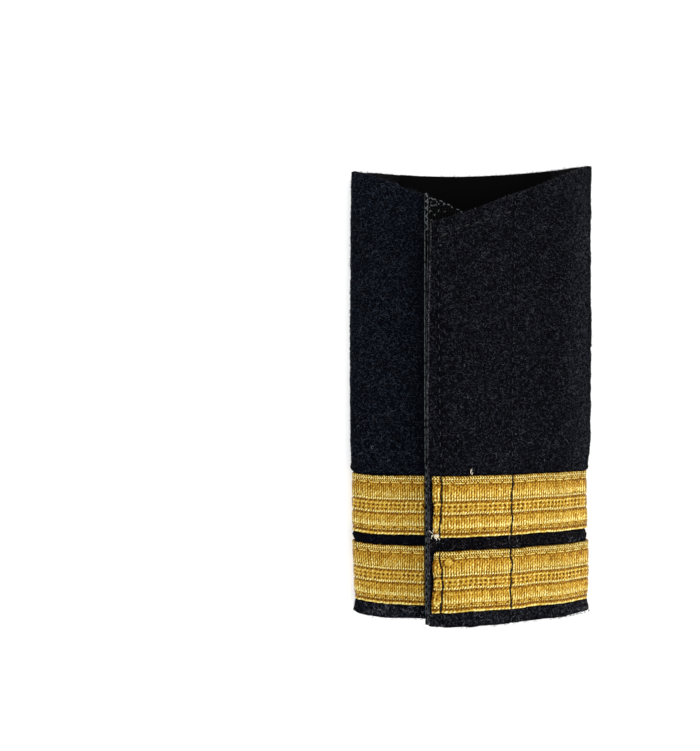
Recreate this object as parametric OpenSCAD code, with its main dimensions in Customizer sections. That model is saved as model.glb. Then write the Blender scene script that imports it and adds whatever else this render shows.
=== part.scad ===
// Slip-on shoulder board: a strip of thick felt folded into a flat sleeve and closed with
// hook-and-loop tape, with two gold braids sewn round its lower end.
// It lies on its back. X runs across the sleeve, Y along the strap towards the slanted
// opening, and Z is up. The origin is the middle of the underside of the whole part.

/* [Sleeve] */
// Width across the two folds
sleeve_w = 60.5; // [54:0.5:70]
// Length of the long fold, from the lower edge to the tip
sleeve_l = 110.5; // [95:0.5:130]
// Clear height of the strap channel under the top of the crown
channel_h = 4.8; // [4:0.1:8]

/* [Felt] */
// Thickness of the felt
felt_t = 1.8; // [1.4:0.1:2.2]
// Radius of the hollow left inside each fold
fold_hollow_r = 0.6; // [0.4:0.1:1.2]
// Distance of the flap's free edge from the middle line
flap_reach = 11.45; // [10:0.05:14]
// Felt of the under lap that shows past its tape
lap_margin = 0.9; // [0.5:0.1:2]

/* [Slanted opening] */
// How far the flap's free corner lies below the long fold's tip
flap_cut = 16.6; // [10:0.2:24]
// How far the end of the under lap lies below the short fold's tip
lap_cut = 17.2; // [10:0.2:24]
// How much shorter the short fold is than the long one
short_fold_drop = 1.5; // [0:0.1:4]
// How far the rim of the back dips between the folds
rim_dip = 2; // [0:0.1:4]

/* [Hook-and-loop tape] */
// Width of both tapes
tape_w = 20; // [16:0.5:21]
// Thickness of the hook tape on the under lap
hook_t = 1.4; // [0.8:0.1:1.8]
// Thickness of the loop tape inside the flap
loop_t = 1.4; // [0.8:0.1:1.8]
// Width of hook tape that shows beside the flap's free edge
tape_show = 0.75; // [0.3:0.05:3]
// Felt of the flap beside the loop tape
loop_inset = 0.8; // [0.4:0.1:3]

/* [Braid] */
// Width of each braid
braid_w = 14.2; // [8:0.1:18]
// Thickness of the braid
braid_t = 0.8; // [0.4:0.1:1.4]
// Felt left bare below the lower braid
braid_margin = 3.15; // [1:0.05:8]
// Felt left bare between the two braids
braid_gap = 3; // [1:0.1:8]
// Felt of the flap beside the turned-in end of the braids
braid_inset = 0.7; // [0.3:0.1:3]
// Width of the turned-in end of the braids
hem_w = 4.4; // [2:0.1:8]
// Extra thickness of the turned-in end
hem_t = 0.5; // [0.2:0.1:1]
// How far the braids draw in the long fold at their middle
long_waist = 2.7; // [0:0.1:4]
// How far the braids draw in the short fold at their middle
short_waist = 2; // [0:0.1:4]

/* [Lining] */
// Width of the smooth lining inside the back
lining_w = 37.6; // [24:0.2:44]
// Thickness of the lining
lining_t = 1; // [0.6:0.1:1.4]
// Distance of the lining's middle from the middle line, towards the long fold
lining_shift = 1.25; // [-3:0.05:3]
// Distance of the lining from the edges of the back
lining_inset = 0.3; // [0.1:0.1:0.8]

/* [Hidden] */

// Clearance between layers that lie on each other
layer_gap = 0.1;
// Step over which a curve's slope is measured
slope_step = 0.2;

half_w = sleeve_w / 2;
fold_r = felt_t + fold_hollow_r;
// Angle from the horizontal where a fold's arc runs into its panel
fold_end = 55;
back_half = half_w - fold_r;
fold_end_x = back_half + fold_r * cos(fold_end);
fold_end_z = fold_r + fold_r * sin(fold_end);

// Thickness of everything between the outside of the flap and the outside of the under lap
lap_stack = felt_t + loop_t + hook_t + 3 * layer_gap;
floor_z = felt_t + layer_gap + lining_t;
crown_z = floor_z + channel_h + felt_t + lap_stack;

// Places across the sleeve
flap_x = -flap_reach;
hook_left = flap_x - tape_show;
hook_right = hook_left + tape_w;
lap_x = hook_right + lap_margin;
loop_left = flap_x + loop_inset;
loop_right = loop_left + tape_w;
braid_flap_x = flap_x + braid_inset;
braid_lap_x = hook_left - layer_gap;
// The short panel's own curve runs into the under lap just beside the tape
lap_run_in = 0.6;
join_x = hook_left - lap_run_in;

// Places along the sleeve
bottom_y = -sleeve_l / 2;
long_tip_y = sleeve_l / 2;
short_tip_y = long_tip_y - short_fold_drop;
lower_braid_y = bottom_y + braid_margin;
upper_braid_y = lower_braid_y + braid_w + braid_gap;
braid_top_y = upper_braid_y + braid_w;
// The sleeve lies on its braids at the lower end and eases down to the table over this run
ease_run = 15;
braid_lift = braid_t + layer_gap;
// The last whole row of points lies this far below the slanted cuts
cut_clearance = 2;
straight_y = min(long_tip_y - flap_cut, short_tip_y - lap_cut) - cut_clearance;

// Outside of the flap: share of the way from its free edge to the long fold's arc, and
// share of the height from the arc's end to the crown
FLAP_RISE = [
    [0, 0.935], [0.045, 0.968], [0.105, 0.995], [0.2, 0.965], [0.275, 0.908], [0.355, 0.834],
    [0.45, 0.722], [0.54, 0.604], [0.6, 0.524], [0.67, 0.455], [0.76, 0.398], [0.825, 0.34],
    [0.875, 0.262], [0.93, 0.16], [1, 0]
];
// Outside of the short panel: share of the way from the short fold's arc to the under lap,
// and share of the height between them
SHORT_RISE = [
    [0, 0], [0.125, 0.34], [0.24, 0.52], [0.37, 0.69], [0.5, 0.79], [0.69, 0.85],
    [0.88, 0.92], [1, 1]
];
// Slanted edge of the flap: share of the way from the long fold, share of the cut
FLAP_SLANT = [
    [0, 0], [0.233, 0.261], [0.367, 0.405], [0.568, 0.616], [0.717, 0.778], [0.911, 0.946], [1, 1]
];
// Slanted edge of the short panel: share of the way from the short fold, share of the cut
LAP_SLANT = [[0, 0], [0.327, 0.29], [0.463, 0.407], [0.7, 0.686], [1, 1]];
// Where the braids draw in the folds: place along the sleeve, share of the long fold's waist,
// share of the short fold's waist
WAIST = [
    [bottom_y, 0.41, 0.6],
    [lower_braid_y, 0.72, 0.95],
    [lower_braid_y + braid_w / 2, 0.76, 1],
    [lower_braid_y + braid_w, 0.76, 0.95],
    [upper_braid_y - braid_gap / 2, 0.56, 0.5],
    [upper_braid_y, 0.95, 0.95],
    [upper_braid_y + braid_w / 2, 1, 1],
    [braid_top_y, 0.9, 0.85],
    [braid_top_y + ease_run * 0.17, 0.42, 0.5],
    [braid_top_y + ease_run * 0.34, 0.2, 0.25],
    [braid_top_y + ease_run * 0.5, 0.1, 0.1],
    [braid_top_y + ease_run, 0, 0],
    [straight_y, 0, 0.1],
    [long_tip_y, 0, 0.27]
];
// How the waist grows towards a fold: share of the way from the middle line, share of the waist
WAIST_ACROSS = [[0.5, 0], [0.9, 1]];
LONG_WAIST = [for (w = WAIST) [w[0], w[1]]];
SHORT_WAIST = [for (w = WAIST) [w[0], w[2]]];
// Turned-in end of a braid: share of its width, share of its extra thickness
HEM = [[0, 0], [0.2, 0.8], [0.5, 1], [0.85, 0.8], [1, 0]];
hem_steps = 6;
// How far the sleeve still stands off the table: place along the sleeve, share of the lift
LIFT = [for (u = [0, 0.17, 0.34, 0.5, 0.67, 0.84, 1]) [braid_top_y + ease_run * u, 1 - eased(u)]];
// Rows of points along the sleeve
ROWS = concat([for (k = [0 : 10]) WAIST[k][0]], [for (k = [4 : 6]) LIFT[k][0]], [straight_y]);

// Share that starts and ends gently
function eased(u) = u * u * (3 - 2 * u);

// Smooth curve through a table of [place, height] rows in rising order
function bend(t, k) =
    let (a = t[max(k - 1, 0)], b = t[min(k + 1, len(t) - 1)])
    (b[1] - a[1]) / (b[0] - a[0]);
function part_of(t, u) = max([for (k = [0 : len(t) - 2]) if (k == 0 || u >= t[k][0]) k]);
function smooth(t, u) =
    let (k = part_of(t, u), a = t[k], b = t[k + 1], h = b[0] - a[0], s = (u - a[0]) / h)
    s < 0 ? a[1] + bend(t, 0) * (u - a[0]) :
    (2 * pow(s, 3) - 3 * s * s + 1) * a[1] + (pow(s, 3) - 2 * s * s + s) * h * bend(t, k)
    + (3 * s * s - 2 * pow(s, 3)) * b[1] + (pow(s, 3) - s * s) * h * bend(t, k + 1);

// Height of the outside of the flap and of the short panel with its under lap
function flap_z(x) =
    fold_end_z + (crown_z - fold_end_z) * smooth(FLAP_RISE, (x - flap_x) / (fold_end_x - flap_x));
function flap_bend(x) = (flap_z(x + slope_step) - flap_z(x - slope_step)) / slope_step / 2;
function lap_z(x) = flap_z(x) - lap_stack * sqrt(1 + pow(flap_bend(x), 2));
join_z = lap_z(join_x);
function under_z(x) = x > join_x ? lap_z(x) :
    fold_end_z + (join_z - fold_end_z) * smooth(SHORT_RISE, (x + fold_end_x) / (join_x + fold_end_x));
function under_bend(x) = (under_z(x + slope_step) - under_z(x - slope_step)) / slope_step / 2;

// Upper edge of each panel
function flap_top(x) = long_tip_y - flap_cut * lookup((half_w - x) / (half_w - flap_x), FLAP_SLANT);
function under_top(x) = short_tip_y - lap_cut * lookup((x + half_w) / (lap_x + half_w), LAP_SLANT);
function rim_top(x) = let (s = (x + half_w) / sleeve_w)
    short_tip_y + short_fold_drop * s - rim_dip * 4 * s * (1 - s);

// A station of the felt's outside is [x, z, outward x, outward z, upper end]
function upward(x, z, m, top) = [x, z, -m / sqrt(1 + m * m), 1 / sqrt(1 + m * m), top];
function span(from, to, n) = [for (k = [0 : n]) from + (to - from) * k / n];
function under_part(from, to, n) =
    [for (x = span(from, to, n)) upward(x, under_z(x), under_bend(x), under_top(x))];
function flap_part(from, to, n) =
    [for (x = span(from, to, n)) upward(x, flap_z(x), flap_bend(x), flap_top(x))];
function back_part(from, to, n) = [for (x = span(from, to, n)) [x, 0, 0, -1, rim_top(x)]];
// A fold's arc, whose side is 1 for the long fold and -1 for the short one
function fold_part(side, angles) =
    [for (a = angles)
        let (x = side * back_half + fold_r * cos(a), z = fold_r * (1 + sin(a)))
        [x, z, cos(a), sin(a), z < fold_r ? rim_top(x) : side > 0 ? flap_top(x) : under_top(x)]];
short_fold = fold_part(-1, concat(open_end(span(180 - fold_end, 180, 4)), span(180, 270, 5)));
long_fold = fold_part(1, concat(open_end(span(-90, 0, 5)), span(0, fold_end, 4)));
// All stations but the last, for runs that go on into the next
function open_end(run) = [for (k = [0 : len(run) - 2]) run[k]];

// A place on the sleeve once its braids draw it in and lift it
function drawn_in(x, y) =
    let (share = eased(lookup(abs(x) / half_w, WAIST_ACROSS)))
    x > 0 ? -share * long_waist * lookup(y, LONG_WAIST) : share * short_waist * lookup(y, SHORT_WAIST);
function placed(x, y, z) = [x + drawn_in(x, y), y, z + braid_lift * lookup(y, LIFT)];
function placed_station(st, out, y) = placed(st[0] + out * st[2], y, st[1] + out * st[3]);

// A layer of cloth on a run of stations, between two distances out from the felt's outside.
// outs and ins have one distance for each station, and rows one list of heights for each.
module layer(run, outs, ins, rows) {
    n = len(run);
    m = len(rows[0]);
    function ix(side, j, i) = (side * m + j) * n + i;
    function quad(a, b, c, d) = [[a, b, c], [a, c, d]];
    points = [for (side = [outs, ins], j = [0 : m - 1], i = [0 : n - 1])
        placed_station(run[i], side[i], rows[i][j])];
    faces = concat(
        [for (j = [0 : m - 2], i = [0 : n - 2])
            each quad(ix(0, j, i), ix(0, j, i + 1), ix(0, j + 1, i + 1), ix(0, j + 1, i))],
        [for (j = [0 : m - 2], i = [0 : n - 2])
            each quad(ix(1, j + 1, i), ix(1, j + 1, i + 1), ix(1, j, i + 1), ix(1, j, i))],
        [for (i = [0 : n - 2]) each quad(ix(0, 0, i + 1), ix(0, 0, i), ix(1, 0, i), ix(1, 0, i + 1))],
        [for (i = [0 : n - 2])
            each quad(ix(0, m - 1, i), ix(0, m - 1, i + 1), ix(1, m - 1, i + 1), ix(1, m - 1, i))],
        [for (j = [0 : m - 2]) each quad(ix(0, j, 0), ix(0, j + 1, 0), ix(1, j + 1, 0), ix(1, j, 0))],
        [for (j = [0 : m - 2])
            each quad(ix(0, j + 1, n - 1), ix(0, j, n - 1), ix(1, j, n - 1), ix(1, j + 1, n - 1))]
    );
    polyhedron(points, faces);
}

// The same distance for every station of a run
function even(run, d) = [for (st = run) d];
// Rows from the lower edge to below each station's own upper end
function full_rows(run, low, short_of_top) =
    [for (st = run) concat([for (y = ROWS) max(y, low)], [st[4] - short_of_top])];

module felt_sleeve() {
    run = concat(
        open_end(under_part(lap_x, join_x, 14)),
        open_end(under_part(join_x, -fold_end_x, 12)),
        open_end(short_fold),
        open_end(back_part(-back_half, back_half, 10)),
        open_end(long_fold),
        flap_part(fold_end_x, flap_x, 28)
    );
    color("#14151c") layer(run, even(run, 0), even(run, -felt_t), full_rows(run, bottom_y, 0));
}

module back_lining() {
    run = back_part(lining_shift - lining_w / 2, lining_shift + lining_w / 2, 8);
    top = -felt_t - layer_gap;
    rows = full_rows(run, bottom_y + lining_inset, lining_inset);
    color("#1d1d20") layer(run, even(run, top), even(run, top - lining_t), rows);
}

module hook_tape() {
    run = under_part(hook_right, hook_left, 14);
    rows = full_rows(run, bottom_y, layer_gap);
    color("#0b0b0d") layer(run, even(run, layer_gap + hook_t), even(run, layer_gap), rows);
}

module loop_tape() {
    run = flap_part(loop_right, loop_left, 14);
    top = -felt_t - layer_gap;
    rows = full_rows(run, bottom_y, loop_inset);
    color("#101013") layer(run, even(run, top), even(run, top - loop_t), rows);
}

// One braid round the sleeve from the tape to its turned-in end on the flap
module braid(low) {
    run = concat(
        open_end(under_part(braid_lap_x, -fold_end_x, 12)),
        open_end(short_fold),
        open_end(back_part(-back_half, back_half, 4)),
        open_end(long_fold),
        open_end(flap_part(fold_end_x, braid_flap_x + hem_w, 22)),
        flap_part(braid_flap_x + hem_w, braid_flap_x, hem_steps)
    );
    first_hem = len(run) - 1 - hem_steps;
    outs = [for (i = [0 : len(run) - 1])
        layer_gap + braid_t + hem_t * lookup((i - first_hem) / hem_steps, HEM)];
    rows = [for (st = run) [low, low + braid_w / 2, low + braid_w]];
    layer(run, outs, even(run, layer_gap), rows);
}

module braid_upper() {
    color("#c9992b") braid(upper_braid_y);
}

module braid_lower() {
    color("#c9992b") braid(lower_braid_y);
}

felt_sleeve();
back_lining();
hook_tape();
loop_tape();
braid_upper();
braid_lower();
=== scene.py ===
"""Looks of a slip-on shoulder board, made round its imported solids.

One strip of thick felt is folded into a flat sleeve and closed with hook-and-loop tape. Its back
has a lining, and two gold braids run round its lower end. Every cloth is laid out on one profile:
s is the way round the sleeve, y the way along it, and out the distance from the felt's outside.
Lengths are in millimetres until a mesh is made.
"""

import math

import bpy
import numpy as np
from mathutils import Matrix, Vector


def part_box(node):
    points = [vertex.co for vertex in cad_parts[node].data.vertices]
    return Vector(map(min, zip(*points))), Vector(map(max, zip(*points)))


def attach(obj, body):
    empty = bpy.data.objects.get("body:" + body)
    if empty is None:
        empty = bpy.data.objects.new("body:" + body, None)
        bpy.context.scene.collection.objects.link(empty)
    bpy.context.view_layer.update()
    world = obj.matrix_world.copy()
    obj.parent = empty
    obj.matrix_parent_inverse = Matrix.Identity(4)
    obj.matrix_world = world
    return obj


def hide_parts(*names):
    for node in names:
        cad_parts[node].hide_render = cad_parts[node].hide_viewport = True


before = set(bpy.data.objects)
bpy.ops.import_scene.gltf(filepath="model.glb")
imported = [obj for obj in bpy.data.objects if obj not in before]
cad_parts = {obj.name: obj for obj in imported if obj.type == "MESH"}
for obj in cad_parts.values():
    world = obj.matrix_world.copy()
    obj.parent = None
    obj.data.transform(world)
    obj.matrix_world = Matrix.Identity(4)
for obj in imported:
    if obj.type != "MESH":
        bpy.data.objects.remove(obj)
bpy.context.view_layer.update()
MM = 0.001

# The sleeve's reach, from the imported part
FELT_LOW, FELT_HIGH = (np.array(corner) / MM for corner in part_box("felt_sleeve"))
HALF_W = float(FELT_HIGH[0])
LONG_TIP_Y = float(FELT_HIGH[1])
BOTTOM_Y = float(FELT_LOW[1])

# Sizes that the solids were made from
FELT_T = 1.8
FOLD_HOLLOW_R = 0.6
CHANNEL_H = 4.8
FLAP_X = -11.45
FLAP_CUT = 16.6
LAP_CUT = 17.2
SHORT_FOLD_DROP = 1.5
RIM_DIP = 2.0
TAPE_W = 20.0
HOOK_T = 1.4
LOOP_T = 1.4
TAPE_SHOW = 0.75
LOOP_INSET = 0.8
LAP_MARGIN = 0.9
BRAID_W = 14.2
BRAID_T = 0.8
BRAID_MARGIN = 3.15
BRAID_GAP = 3.0
BRAID_INSET = 0.7
LONG_WAIST = 2.7
SHORT_WAIST = 2.0
LINING_W = 37.6
LINING_T = 1.0
LINING_SHIFT = 1.25
LINING_INSET = 0.3
LAYER_GAP = 0.1
LAP_RUN_IN = 0.6
EASE_RUN = 15.0
FOLD_END = 55.0

# Places that follow from them
FOLD_R = FELT_T + FOLD_HOLLOW_R
BACK_HALF = HALF_W - FOLD_R
FOLD_END_X = BACK_HALF + FOLD_R * math.cos(math.radians(FOLD_END))
FOLD_END_Z = FOLD_R + FOLD_R * math.sin(math.radians(FOLD_END))
LAP_STACK = FELT_T + LOOP_T + HOOK_T + 3 * LAYER_GAP
CROWN_Z = FELT_T + LAYER_GAP + LINING_T + CHANNEL_H + FELT_T + LAP_STACK
HOOK_LEFT = FLAP_X - TAPE_SHOW
HOOK_RIGHT = HOOK_LEFT + TAPE_W
LAP_X = HOOK_RIGHT + LAP_MARGIN
LOOP_LEFT = FLAP_X + LOOP_INSET
LOOP_RIGHT = LOOP_LEFT + TAPE_W
JOIN_X = HOOK_LEFT - LAP_RUN_IN
SHORT_TIP_Y = LONG_TIP_Y - SHORT_FOLD_DROP
LOWER_BRAID_Y = BOTTOM_Y + BRAID_MARGIN
UPPER_BRAID_Y = LOWER_BRAID_Y + BRAID_W + BRAID_GAP
BRAID_TOP_Y = UPPER_BRAID_Y + BRAID_W
BRAID_LIFT = BRAID_T + LAYER_GAP

# Outside of the flap: share of the way from its free edge, share of the height
FLAP_RISE = [
    (0, 0.935), (0.045, 0.968), (0.105, 0.995), (0.2, 0.965), (0.275, 0.908), (0.355, 0.834),
    (0.45, 0.722), (0.54, 0.604), (0.6, 0.524), (0.67, 0.455), (0.76, 0.398), (0.825, 0.34),
    (0.875, 0.262), (0.93, 0.16), (1, 0),
]
# Outside of the short panel: share of the way from the short fold, share of the height
SHORT_RISE = [
    (0, 0), (0.125, 0.34), (0.24, 0.52), (0.37, 0.69), (0.5, 0.79), (0.69, 0.85), (0.88, 0.92),
    (1, 1),
]
# Slanted edges: share of the way from the fold, share of the cut
FLAP_SLANT = [
    (0, 0), (0.233, 0.261), (0.367, 0.405), (0.568, 0.616), (0.717, 0.778), (0.911, 0.946), (1, 1),
]
LAP_SLANT = [(0, 0), (0.327, 0.29), (0.463, 0.407), (0.7, 0.686), (1, 1)]
# Where the braids draw in the folds: place, share of the long waist, share of the short waist
WAIST = [
    (BOTTOM_Y, 0.48, 0.72), (LOWER_BRAID_Y, 0.8, 1.05), (LOWER_BRAID_Y + BRAID_W / 2, 0.72, 0.92),
    (LOWER_BRAID_Y + BRAID_W, 0.72, 0.75), (UPPER_BRAID_Y - BRAID_GAP / 2, 0.54, 0.36),
    (UPPER_BRAID_Y, 0.76, 0.75), (UPPER_BRAID_Y + BRAID_W / 2, 0.9, 0.76), (BRAID_TOP_Y, 0.9, 0.76),
    (BRAID_TOP_Y + EASE_RUN * 0.17, 0.46, 0.3), (BRAID_TOP_Y + EASE_RUN * 0.34, 0.26, 0.22),
    (BRAID_TOP_Y + EASE_RUN * 0.5, 0.16, 0.15), (BRAID_TOP_Y + EASE_RUN, 0.08, 0.08),
    (LONG_TIP_Y - FLAP_CUT - 2, 0.08, 0.18), (LONG_TIP_Y, 0.05, 0.27),
]
# How the waist grows from the middle line to a fold
WAIST_ACROSS = [(0.5, 0), (0.9, 1)]


def eased(u):
    """Share that starts and ends gently."""
    return u * u * (3 - 2 * u)


def looked_up(u, table, column=1):
    """Straight lines through a table's rows."""
    rows = np.array(table, float)
    return np.interp(u, rows[:, 0], rows[:, column])


def smooth(u, table):
    """Smooth curve through a table's rows, as the solids have it."""
    x, y = np.array(table, float).T
    k = np.arange(len(x))
    before, after = np.maximum(k - 1, 0), np.minimum(k + 1, len(x) - 1)
    slope = (y[after] - y[before]) / (x[after] - x[before])
    i = np.clip(np.searchsorted(x, u, side="right") - 1, 0, len(x) - 2)
    h = x[i + 1] - x[i]
    t = (u - x[i]) / h
    curve = (2 * t**3 - 3 * t**2 + 1) * y[i] + (t**3 - 2 * t**2 + t) * h * slope[i]
    curve += (3 * t**2 - 2 * t**3) * y[i + 1] + (t**3 - t**2) * h * slope[i + 1]
    return np.where(t < 0, y[0] + slope[0] * (u - x[0]), curve)


def slope_of(height, x):
    reach = 0.2
    return (height(x + reach) - height(x - reach)) / (2 * reach)


def flap_z(x):
    return FOLD_END_Z + (CROWN_Z - FOLD_END_Z) * smooth((x - FLAP_X) / (FOLD_END_X - FLAP_X), FLAP_RISE)


def lap_z(x):
    return flap_z(x) - LAP_STACK * np.hypot(1, slope_of(flap_z, x))


def under_z(x):
    join_z = lap_z(np.array(JOIN_X))
    rise = smooth((x + FOLD_END_X) / (JOIN_X + FOLD_END_X), SHORT_RISE)
    return np.where(x > JOIN_X, lap_z(x), FOLD_END_Z + (join_z - FOLD_END_Z) * rise)


def flap_top(x):
    return LONG_TIP_Y - FLAP_CUT * looked_up((HALF_W - x) / (HALF_W - FLAP_X), FLAP_SLANT)


def under_top(x):
    return SHORT_TIP_Y - LAP_CUT * looked_up((x + HALF_W) / (LAP_X + HALF_W), LAP_SLANT)


# How far the back's upper rim is above its smooth curve: x, rise
RIM_RISE = [
    (-30.25, 0), (-29, 0.35), (-25, 0.75), (-21, 0.65), (-12, 0.5), (-2, 0.38), (8, 0.45), (20, 0.45),
    (26, 0.55), (29.3, 0.35), (30.25, 0),
]


def rim_top(x):
    share = (x + HALF_W) / (2 * HALF_W)
    dip = RIM_DIP * 4 * share * (1 - share)
    return SHORT_TIP_Y + SHORT_FOLD_DROP * share - dip + looked_up(x, RIM_RISE)


# The profile: rows of x, z, outward x, outward z and upper end, all round the sleeve.
# It runs on past both free edges for strands that stick out there.
RUN_STEP = 0.05
RUN_ON = 3.0
FOLD_POINTS = 150
# Nothing sinks in the floor that the sleeve lies on
ABOVE_FLOOR = 0.06


def steps(start, end):
    return np.linspace(start, end, int(abs(end - start) / RUN_STEP) + 1)


def panel(x, height, top):
    m = slope_of(height, x)
    c = np.hypot(1, m)
    return np.stack([x, height(x), -m / c, 1 / c, top(x)], 1)


def fold(side, first, last):
    a = np.radians(np.linspace(first, last, FOLD_POINTS))
    x = side * BACK_HALF + FOLD_R * np.cos(a)
    z = FOLD_R * (1 + np.sin(a))
    top = flap_top(x) if side > 0 else under_top(x)
    return np.stack([x, z, np.cos(a), np.sin(a), np.where(z < FOLD_R, rim_top(x), top)], 1)


def back(x):
    return np.stack([x, 0 * x, 0 * x, 0 * x - 1, rim_top(x)], 1)


UNDER_RUN = panel(steps(LAP_X + RUN_ON, -FOLD_END_X), under_z, under_top)
BACK_RUN = back(steps(-BACK_HALF, BACK_HALF))
FLAP_RUN = panel(steps(FOLD_END_X, FLAP_X - RUN_ON), flap_z, flap_top)
RUN = np.concatenate([
    UNDER_RUN, fold(-1, 180 - FOLD_END, 270)[1:-1], BACK_RUN, fold(1, -90, FOLD_END)[1:-1], FLAP_RUN,
])
S = np.concatenate([[0], np.cumsum(np.hypot(np.diff(RUN[:, 0]), np.diff(RUN[:, 1])))])
BACK_AT = len(UNDER_RUN) + FOLD_POINTS - 2
FLAP_AT = len(RUN) - len(FLAP_RUN)


def s_under(x):
    return np.interp(-np.asarray(x, float), -UNDER_RUN[:, 0], S[:len(UNDER_RUN)])


def s_back(x):
    return np.interp(x, BACK_RUN[:, 0], S[BACK_AT:BACK_AT + len(BACK_RUN)])


def s_flap(x):
    return np.interp(-np.asarray(x, float), -FLAP_RUN[:, 0], S[FLAP_AT:])


S_LAP = float(s_under(LAP_X))
S_UNDER_END = float(s_under(-FOLD_END_X))
S_BACK = float(s_back(-BACK_HALF))
S_BACK_END = float(s_back(BACK_HALF))
S_FLAP_START = float(s_flap(FOLD_END_X))
S_FLAP = float(s_flap(FLAP_X))


def upper_end(s):
    return np.interp(s, S, RUN[:, 4])


# How far the felt's lower edge is below its straight line: way round the sleeve, drop
LOWER_DROP = [
    (S_LAP, 0.5), (s_under(-27.5), 0.5), (s_under(-29.0), 0.4), (S_BACK, 0.2), (S_BACK_END, 0),
    (S_FLAP_START, -0.2), (s_flap(26.0), -0.05), (s_flap(23.0), 0.2), (s_flap(19.0), 0.3),
    (s_flap(12.0), 0.5), (s_flap(-4.0), 0.46), (S_FLAP, 0.32),
]


def lower_end(s):
    return BOTTOM_Y - looked_up(s, LOWER_DROP)


def place(s, y, out=0.0):
    """Points in metres on the sleeve, once its braids draw it in and lift it."""
    x, z, nx, nz = (np.interp(s, S, RUN[:, k]) for k in range(4))
    x, z = x + out * nx, z + out * nz
    share = eased(looked_up(np.abs(x) / HALF_W, WAIST_ACROSS))
    waist = np.where(x > 0, -LONG_WAIST * looked_up(y, WAIST), SHORT_WAIST * looked_up(y, WAIST, 2))
    lift = 1 - eased(np.clip((y - BRAID_TOP_Y) / EASE_RUN, 0, 1))
    z = np.maximum(z + BRAID_LIFT * lift, ABOVE_FLOOR)
    return np.stack(np.broadcast_arrays(x + share * waist, y, z), -1) * MM


def outward(s):
    nx, nz = np.interp(s, S, RUN[:, 2]), np.interp(s, S, RUN[:, 3])
    return np.stack([nx, 0 * nx, nz], -1)


def lumps(s, y, pitch, seed):
    """Smooth seeded unevenness from -1 to 1 on the unrolled cloth."""
    size = 256
    table = np.random.default_rng(seed).uniform(-1, 1, (size, size))
    a, b = np.broadcast_arrays(np.asarray(s) / pitch, np.asarray(y) / pitch)
    i, j = np.floor(a).astype(int), np.floor(b).astype(int)
    u, v = eased(a - i), eased(b - j)

    def at(di, dj):
        return table[(i + di) % size, (j + dj) % size]

    low = at(0, 0) * (1 - u) + at(1, 0) * u
    return low * (1 - v) + (at(0, 1) * (1 - u) + at(1, 1) * u) * v


def uneven(s, y, table):
    """Several lumps at once, from rows of height, size and seed."""
    return sum(height * lumps(s, y, size, seed) for height, size, seed in table)


def bump_at(distance, reach):
    """1 at no distance, falling off to about a third at this reach."""
    return np.exp(-((distance / reach) ** 2))


# Camera, straight above, and the plain studio

# Focal length in photo pixels, and the camera's place in millimetres
FOCAL_PX = 687.0
PHOTO_SIDE_PX = 751
EYE = (-30.05, 2.89, 174.15)


def make_camera():
    data = bpy.data.cameras.new("camera")
    data.sensor_width = 36.0
    data.lens = FOCAL_PX * data.sensor_width / PHOTO_SIDE_PX
    data.clip_start = 0.01
    data.clip_end = 20
    camera = bpy.data.objects.new("camera", data)
    camera.location = [c * MM for c in EYE]
    bpy.context.scene.collection.objects.link(camera)
    bpy.context.scene.camera = camera


# Lamps that aim at the part: name, place in metres, watts, colour
LAMPS = [
    ("key", (1.15, -0.25, 0.85), 8.5, (1.0, 0.985, 0.96)),
    ("fill", (-0.60, 0.70, 1.15), 4.5, (0.95, 0.97, 1.0)),
]
LAMP_SIZE = 0.80
WORLD_STRENGTH = 1.3
FLOOR_HALF = 3.0


def make_lamp(name, place_at, watts, colour):
    data = bpy.data.lights.new(name, "AREA")
    data.shape = "DISK"
    data.size = LAMP_SIZE
    data.energy = watts
    data.color = colour
    lamp = bpy.data.objects.new(name, data)
    lamp.location = place_at
    x, y, z = place_at
    lamp.rotation_euler = (math.atan2(math.hypot(x, y), z), 0, math.atan2(-y, -x) - math.pi / 2)
    bpy.context.scene.collection.objects.link(lamp)


def flat_plane(name, half):
    corners = [(-half, -half, 0), (half, -half, 0), (half, half, 0), (-half, half, 0)]
    mesh = bpy.data.meshes.new(name)
    mesh.from_pydata(corners, [], [(0, 1, 2, 3)])
    plane = bpy.data.objects.new(name, mesh)
    bpy.context.scene.collection.objects.link(plane)
    return plane


def make_studio():
    scene = bpy.context.scene
    scene.view_settings.view_transform = "Standard"
    world = bpy.data.worlds.new("studio")
    world.use_nodes = True
    background = world.node_tree.nodes["Background"]
    background.inputs["Color"].default_value = (1.0, 1.0, 1.0, 1)
    background.inputs["Strength"].default_value = WORLD_STRENGTH
    scene.world = world
    for lamp in LAMPS:
        make_lamp(*lamp)
    floor = flat_plane("floor", FLOOR_HALF)
    floor.data.materials.append(floor_finish())


# Materials

# The gold by tone, from brown, painted shade in the weave's hollows, to pale, painted highlight on its
# crests: tone, colour
GOLD_BY_TONE = [
    (0.0, (0.066, 0.020, 0.0003)), (0.25, (0.19, 0.081, 0.0018)), (0.5, (0.375, 0.211, 0.016)),
    (0.75, (0.53, 0.41, 0.073)), (1.0, (0.71, 0.71, 0.36)),
]


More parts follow.
